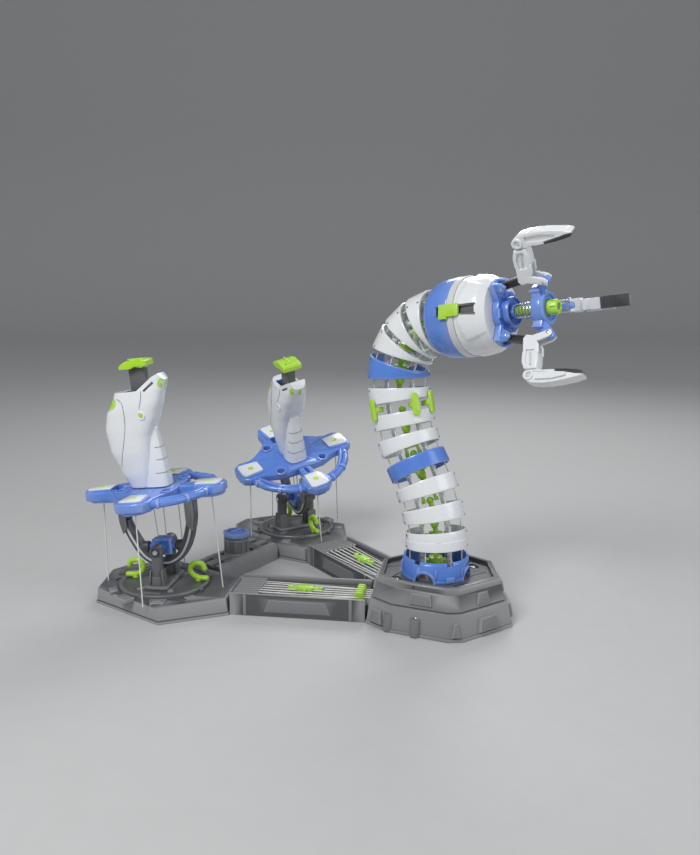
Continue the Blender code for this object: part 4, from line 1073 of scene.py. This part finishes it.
def make_cross(name):
    _, at, _ = stick_frames(name)
    shapes = [slab([(-10, -4.5), (-8.5, -6), (8.5, -6), (10, -4.5), (10, 4.5), (8.5, 6), (-8.5, 6), (-10, 4.5)], -8, 8,
                   0.9),
              box((14, 13, 3), (0, 0, 7.6), soft=0.8),
              rod(2.5, (0, -24, 0), (0, 24, 0), soft=0.4), rod(2.5, (-27, 0, 0), (27, 0, 0), soft=0.4)]
    shapes += [rod(4.2, (0, k * 5, 0), (0, k * 10, 0), soft=0.5) for k in (-1, 1)]
    shapes += [rod(4.2, (k * 9, 0, 0), (k * 12.5, 0, 0), soft=0.5) for k in (-1, 1)]
    show(name + "_cross_block", name + "_gimbal", "blue", shapes, at,
         cuts=[rod(1.5, (k * 4.2, 0, 4), (k * 4.2, 0, 12), soft=0, sides=18) for k in (-1, 1)]
         + [box((22, 2.2, 6), (0, 0, -7), soft=0)], replaces=(name + "_cross",))


def make_yoke(name):
    _, _, at = stick_frames(name)
    body = name + "_stick"
    outer = smooth_path([(-40, 50, 0), (-39, 28, 0), (-33, 8, 0), (-23, -10, 0), (-10, -19, 0), (0, -20.5, 0),
                         (10, -19, 0), (23, -10, 0), (33, 8, 0), (37, 28, 0), (38, 50, 0)], 4)
    inner = smooth_path([(29.5, 50, 0), (28.5, 28, 0), (23, 9, 0), (15, -6, 0), (7, -12, 0), (0, -13, 0),
                         (-7, -12, 0), (-15, -6, 0), (-23, 9, 0), (-30.5, 28, 0), (-31.5, 50, 0)], 4)
    flat = [(p.x, p.y) for p in outer + inner]
    shapes = [slab(flat, -4.6, 4.6, 0.7, place=UPRIGHT)]
    ends = [[(-40, 49.5), (-39.2, 28), (-37, 16), (-32.4, 22), (-31.5, 49.5)],
            [(38, 49.5), (29.5, 49.5), (29, 22), (34.6, 16), (37, 28)]]
    shapes += [slab(outline, -9, 9, 0.9, place=UPRIGHT) for outline in ends]
    slots = [box((3, 5.5, 1.4), (x, y, z), turn_y(8 if x > 0 else -8), soft=0)
             for x in (-31.3, 29.2) for z in (30, 39) for y in (-4.2, 4.2)]
    slots += [rod(2.9, (-42, 0, 0), (42, 0, 0), soft=0, sides=24)]
    show(name + "_yoke_arch", body, "slate", shapes, at, cuts=slots, replaces=(name + "_yoke",))
    edging = []
    centre = [((a.x + b.x) / 2, 0, (a.y + b.y) / 2) for a, b in zip(outer, reversed(inner))]
    for side in (-1, 1):
        edging.append(sweep([(x * 1.03, side * 4.7, z) for x, _, z in centre], 1.15, 8))
    show(name + "_yoke_edging", body, "pale", edging, at)
    bosses = [rod(5.4, (k * 14, 0, 0), (k * 23, 0, 0), soft=0.8) for k in (-1, 1)]
    show(name + "_yoke_bosses", body, "dark", bosses, at)


def swash_outline():
    half = [(26, 0), (26, 26), (20, 40), (17, 50), (17.5, 62), (13, 69), (6, 71), (-6, 71), (-13, 69), (-18, 61),
            (-17, 50), (-20, 42), (-31, 27), (-44, 17.5), (-60, 17), (-68, 13), (-71, 6), (-71, 0)]
    return half + [(x, -y) for x, y in reversed(half[1:-1])]


def make_swash(name):
    _, _, stick = stick_frames(name)
    at = stick @ shift(0, 0, 1.5)
    body = name + "_stick"
    shapes = [slab(swash_outline(), 50.6, 60.2, 2.0, steps=3)]
    shapes.append(slab([(x * 0.9, y * 0.93) for x, y in swash_outline()], 48.6, 52, 1.4))
    front = [(26, -7), (44, -9), (47, -14), (56, -17), (64, -15), (70.5, -8), (71, 0), (70.5, 8), (64, 15), (56, 17),
             (47, 14), (44, 9), (26, 7)]
    shapes.append(slab(front, 51, 60.2, 2.0, steps=3))
    for b in (0, 90, 180, 270):
        x, y = polar(57, b)
        shapes.append(slab([(x + px, y + py) for px, py in arc(12.8, 22.5, 337.5, 7)], 48, 57, 1.3))
        lobe = [(-11, -12), (11, -12.5), (14, -7), (14, 7), (11, 12.5), (-11, 12)]
        shapes.append(slab(lobe, 56, 61.2, 0.9, place=shift(x - polar(2, b)[0], y - polar(2, b)[1], 0) @ turn_z(b)))
    for side in (-1, 1):
        for inset, radius, height in ((0, 3.6, 55.2), (4.2, 2.4, 57.2)):
            rail = smooth_path([(58 - inset, side * 13, height), (51 - inset, side * 31, height),
                                (34 - inset, side * (50 - inset), height), (13, side * (59 - inset), height)], 8)
            shapes.append(sweep(rail, radius, 16))
        collar_points = smooth_path([(58, side * 13, 55.2), (51, side * 31, 55.2), (34, side * 50, 55.2),
                                     (13, side * 59, 55.2)], 8)
        for k in (3, 11, 20):
            shapes.append(sweep([collar_points[k], collar_points[k + 1]], 4.4, 16))
    shapes += [box((9, 34, 6), (21, 0, 57.6), soft=1.4), box((20, 5, 3), (-34, 0, 60.2), soft=0.8),
               box((4, 22, 5.5), (-29.5, 0, 58), soft=0.9)]
    shapes += [turned([(6.2, 59.6), (6.2, 61), (5.6, 61.5), (4.6, 61.4), (4.4, 59.6)], 32,
                      place=shift(*polar(34, b), 0)) for b in (52, -52, 142, -142)]
    cuts = [rod(4.3, (*polar(34, b), 40), (*polar(34, b), 70), soft=0, sides=28) for b in (52, -52, 142, -142)]
    cuts += [box((10, 18, 30), (-38, 0, 56), soft=0)]
    cuts += [capsule((30, 0), (37, 0), 2.2, 40, 70, 0)]
    cuts += [box((34, 0.9, 1.2), (*polar(40, b), 60.6), turn_z(b), soft=0) for b in (75, 105, -75, -105, 165, -165)]
    cuts += [rod(1.0, (*polar(LOBE_REACH, b), 40), (*polar(LOBE_REACH, b), 56), soft=0, sides=12)
             for b in (0, 90, 180, 270)]
    show(name + "_swash_deck", body, "blue", shapes, at, cuts=cuts, replaces=(name + "_swash_plate",))
    pads, knobs = [], []
    for b in (0, 90, 180, 270):
        place = shift(*polar(56, b), 0) @ turn_z(b)
        pads.append(slab([(-13, -8.6), (9, -11), (11.4, -7), (11.4, 7), (9, 11), (-13, 8.6)], 60.4, 62.1, 0.6,
                         place=place))
        knobs.append(turned([(3.3, 61.6), (3.3, 62.4), (2.7, 62.9), (1.2, 63.0), (0.01, 62.5), (0.01, 61.6)], 28,
                            place=place @ shift(-1.5, 0, -0.4)))
    show(name + "_swash_pads", body, "white", pads, at)
    show(name + "_swash_studs", body, "green", knobs, at)


LOBE_REACH = 56


def between(table, z):
    for (z0, v0), (z1, v1) in zip(table, table[1:]):
        if z <= z1:
            t = max(0, (z - z0) / (z1 - z0))
            t = t * t * (3 - 2 * t) * 0.4 + t * 0.6
            return v0 + (v1 - v0) * t
    return table[-1][1]


GRIP_BACK = [(62, -23), (80, -31), (99, -38.5), (121, -41), (136, -38), (147, -31), (156, -27.5), (175, -25)]
GRIP_FRONT = [(62, -2), (80, 1), (99, 3.5), (113, 5.5), (121, 9), (132, 14), (150, 20.5), (165, 25.5), (175, 27)]
GRIP_WIDTH = [(62, 11.5), (80, 14), (100, 16.3), (121, 17), (140, 16.4), (155, 14), (165, 11.5), (175, 10)]


def grip_row(z, back, front, width, steps=40, power=0.62, skew=0.58):
    row = []
    middle = back + (front - back) * skew
    for k in range(steps):
        a = 2 * pi * k / steps
        c, s = cos(a), sin(a)
        reach = (front - middle) if c > 0 else (middle - back)
        row.append((middle + reach * (abs(c) ** (0.8 if c > 0 else 1.0)) * (1 if c > 0 else -1),
                    width * (abs(s) ** power) * (1 if s > 0 else -1), z))
    return row


def make_grip(name):
    _, _, at = stick_frames(name)
    body = name + "_stick"
    rows = [grip_row(z, between(GRIP_BACK, z), between(GRIP_FRONT, z), between(GRIP_WIDTH, z))
            for z in [62.6 + 112 * k / 44 for k in range(45)]]
    over = slab([(-60, 156.5), (-27, 156.2), (-1.5, 157.2), (14.5, 169.6), (20, 172), (25.6, 165.6), (60, 170),
                 (60, 200), (-60, 200)], -40, 40, 0, place=UPRIGHT)
    well = box((21.5, 18, 60), (-6.5, 0, 160), soft=0)
    slots = [box((12.5, 80, 2.3), (10.5, 0, 160.4), turn_y(-38), soft=0)]
    shell_mesh = show(name + "_grip_shell", body, "white", [loft(rows)], at, cuts=[over, well, *slots], soft=0.9,
                      replaces=(name + "_grip",), crease=50)
    fairing = []
    for z in [62.6 + 59 * k / 24 for k in range(25)]:
        t = (z - 62.6) / 59
        front = 17 - 7.5 * t ** 1.3 - (3 if t > 0.97 else 0)
        fairing.append(grip_row(z, -9 + 10 * t, front, (12.2 - 6.2 * t) * (1 if t < 0.97 else 0.8), 28, 0.5, 0.5))
    show(name + "_grip_fairing", body, "white", [loft(fairing)], at, crease=50)
    lines = []
    for z in (76, 89, 101):
        t = (z - 62.6) / 59
        front = 17 - 7.5 * t ** 1.3
        row = grip_row(z, -9 + 10 * t + 0, front, (12.2 - 6.2 * t), 48, 0.5, 0.5)
        path = [(x + 0.05, y * 1.005, zz) for x, y, zz in row if x > (front - 9 + 10 * t) / 2 + 2]
        path = sorted(path, key=lambda p: p[1])
        lines.append(sweep(path, 0.34, 6))
    for side in (-1, 1):
        seam = []
        for z, x in ((151, -29), (150.5, -22), (147, -17.5), (140, -15.5), (125, -15.5), (110, -19), (95, -23.5),
                     (84, -27)):
            seam.append(on_grip(x, z, side, 0.0))
        lines.append(sweep(smooth_path(seam, 5), 0.33, 6))
        crease = [on_grip(x, z, side, 0.05) for x, z in ((3.5, 157), (3, 150), (0.6, 141))]
        lines.append(sweep(smooth_path(crease, 4), 0.35, 6))
    show(name + "_grip_lines", body, "slate", lines, at)
    rim = [slab([(-18.5, -10.5), (5.5, -10.5), (5.5, 10.5), (-18.5, 10.5)], 150, 156.2, 0.5)]
    hole = [box((19.5, 17.6, 30), (-6.5, 0, 152), soft=0)]
    show(name + "_grip_rim", body, "blue", rim, at, cuts=hole)
    heel = [(139.5, -40, -33), (142, -40, -27), (146, -40, -23.8), (149.5, -40, -24.4), (152, -40, -26.4)]
    nose = [(156.5, 22.5, 40), (159, 20.5, 40), (162, 19.2, 40), (165, 20.2, 25.6), (167.5, 21.6, 23.4)]
    patches = [patch(edges, side) for edges in (heel, nose) for side in (-1, 1)]
    show(name + "_grip_patches", body, "green", patches, at)
    bosses, dots, darks = [], [], []
    for side in (-1, 1):
        centre = on_grip(1, 134, side, -1.2)
        turn = shift(*centre) @ turn_x(-90 * side)
        bosses.append(turned([(4.6, -1), (4.6, 1.2), (4.1, 1.8), (2.6, 1.9), (2.3, 1.2), (2.3, -1)], 36, place=turn))
        dots.append(rod(2.2, (0, 0, -1), (0, 0, 1.5), soft=0.4, place=turn))
        darks.append(box((12, 1.2, 1.7), on_grip(10.2, 160.2, side, -1.4), turn_y(-38), soft=0.4))
    show(name + "_grip_bosses", body, "white", bosses, at)
    show(name + "_grip_dots", body, "green", dots, at)
    show(name + "_grip_slots", body, "dark", darks, at)
    make_trigger(name, at)


def on_grip(x, z, side, out):
    """A point on the grip's side at x and height z."""
    back, front, width = between(GRIP_BACK, z), between(GRIP_FRONT, z), between(GRIP_WIDTH, z)
    middle = back + (front - back) * 0.58
    if x > middle:
        c = min(1, (x - middle) / (front - middle)) ** (1 / 0.8)
    else:
        c = min(1, (middle - x) / (middle - back))
    return Vector((x, side * (width * max(0.0, 1 - c * c) ** 0.31 + out), z))


def patch(edges, side):
    """A thin raised patch that follows the grip's side; edges holds (z, low x, high x)."""
    rows = []
    for z, low, high in edges:
        back, front = between(GRIP_BACK, z), between(GRIP_FRONT, z)
        xs = [min(max(low + (high - low) * k / 10, back), front) for k in range(11)]
        rows.append([on_grip(x, z, side, 0.4) for x in xs] + [on_grip(x, z, side, -1.6) for x in reversed(xs)])
    return loft(rows)


def make_trigger(name, at):
    body = name + "_trigger"
    stem = [box((16, 9.6, 43), (-1.8, 0, 156.4), soft=0.9), box((1.2, 6, 30), (6.2, 0, 158), soft=0.4),
            box((1.2, 6, 30), (-9.6, 0, 158), soft=0.4)]
    show(name + "_plunger_stem", body, "dark", stem, at, replaces=(name + "_plunger",))
    crown = smooth_path([(-17, 178.6, 0), (-15.8, 182.2, 0), (-10, 185.8, 0), (-3, 186.9, 0), (5, 186.8, 0),
                         (9.6, 186, 0), (10.8, 183.4, 0)], 4)
    under = [(10.4, 180.6), (7, 180.2), (5, 178.6), (3.4, 180.4), (-1.5, 180.2), (-5, 178.4), (-11, 178.3)]
    cap = [slab([(p.x, p.y) for p in crown] + under, -11, 11, 1.1, place=UPRIGHT, steps=3)]
    cap.append(box((16, 2.0, 1.2), (-3, 0, 187.0), soft=0.45))
    cuts = [rod(1.2, (x, y, 180), (x, y, 192), soft=0, sides=16) for x, y in ((-9, 5), (4, -5))]
    show(name + "_thumb_rest", body, "green", cap, at, cuts=cuts, replaces=(name + "_thumb_cap",))


def make_stick_strings(name, side):
    """Strings from the plate's holes to the lobes, and two from the cross to the deck."""
    ground, cross, stick = stick_frames(name)
    knots, upper, lower, inner = [], [], [], []
    for b in (0, 90, 180, 270):
        foot = ground @ Vector((*polar(STRING_ROUND, b), 16.2))
        head = stick @ Vector((*polar(LOBE_REACH, b), 50.5))
        points = [foot + (head - foot) * t / 24 for t in range(25)]
        lower.append(sweep(points[:13], 0.62, 8))
        upper.append(sweep(points[12:], 0.62, 8))
        knots.append(ball(1.5, head + Vector((0, 0, -0.4)), (1, 1, 1.3)))
    for k in (-1, 1):
        foot = cross @ Vector((k * 4.2, 0, 8))
        head = stick @ Vector((k * 5.5, 0, 51))
        inner.append(sweep([foot + (head - foot) * t / 16 for t in range(17)], 0.55, 8))
    base, gimbal, top = "base", name + "_gimbal", name + "_stick"
    mid = ground @ Vector((0, 0, 60))
    for label, shapes, a, b, start, end in (
            ("foot", lower, base, gimbal, ground @ Vector((0, 0, 18)), mid),
            ("head", upper, gimbal, top, mid, ground @ Vector((0, 0, 102))),
            ("core", inner, gimbal, top, cross @ Vector((0, 0, 8)), cross @ Vector((0, 0, 48)))):
        made = show("%s_strings_%s" % (name, label), a, "string", shapes, ride=False)
        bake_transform(made)
    show(name + "_string_knots", top, "string", knots)


for station, plate_side in (("left", 1), ("rear", -1)):
    make_cross(station)
    make_yoke(station)
    make_swash(station)
    make_grip(station)
    make_stick_strings(station, plate_side)
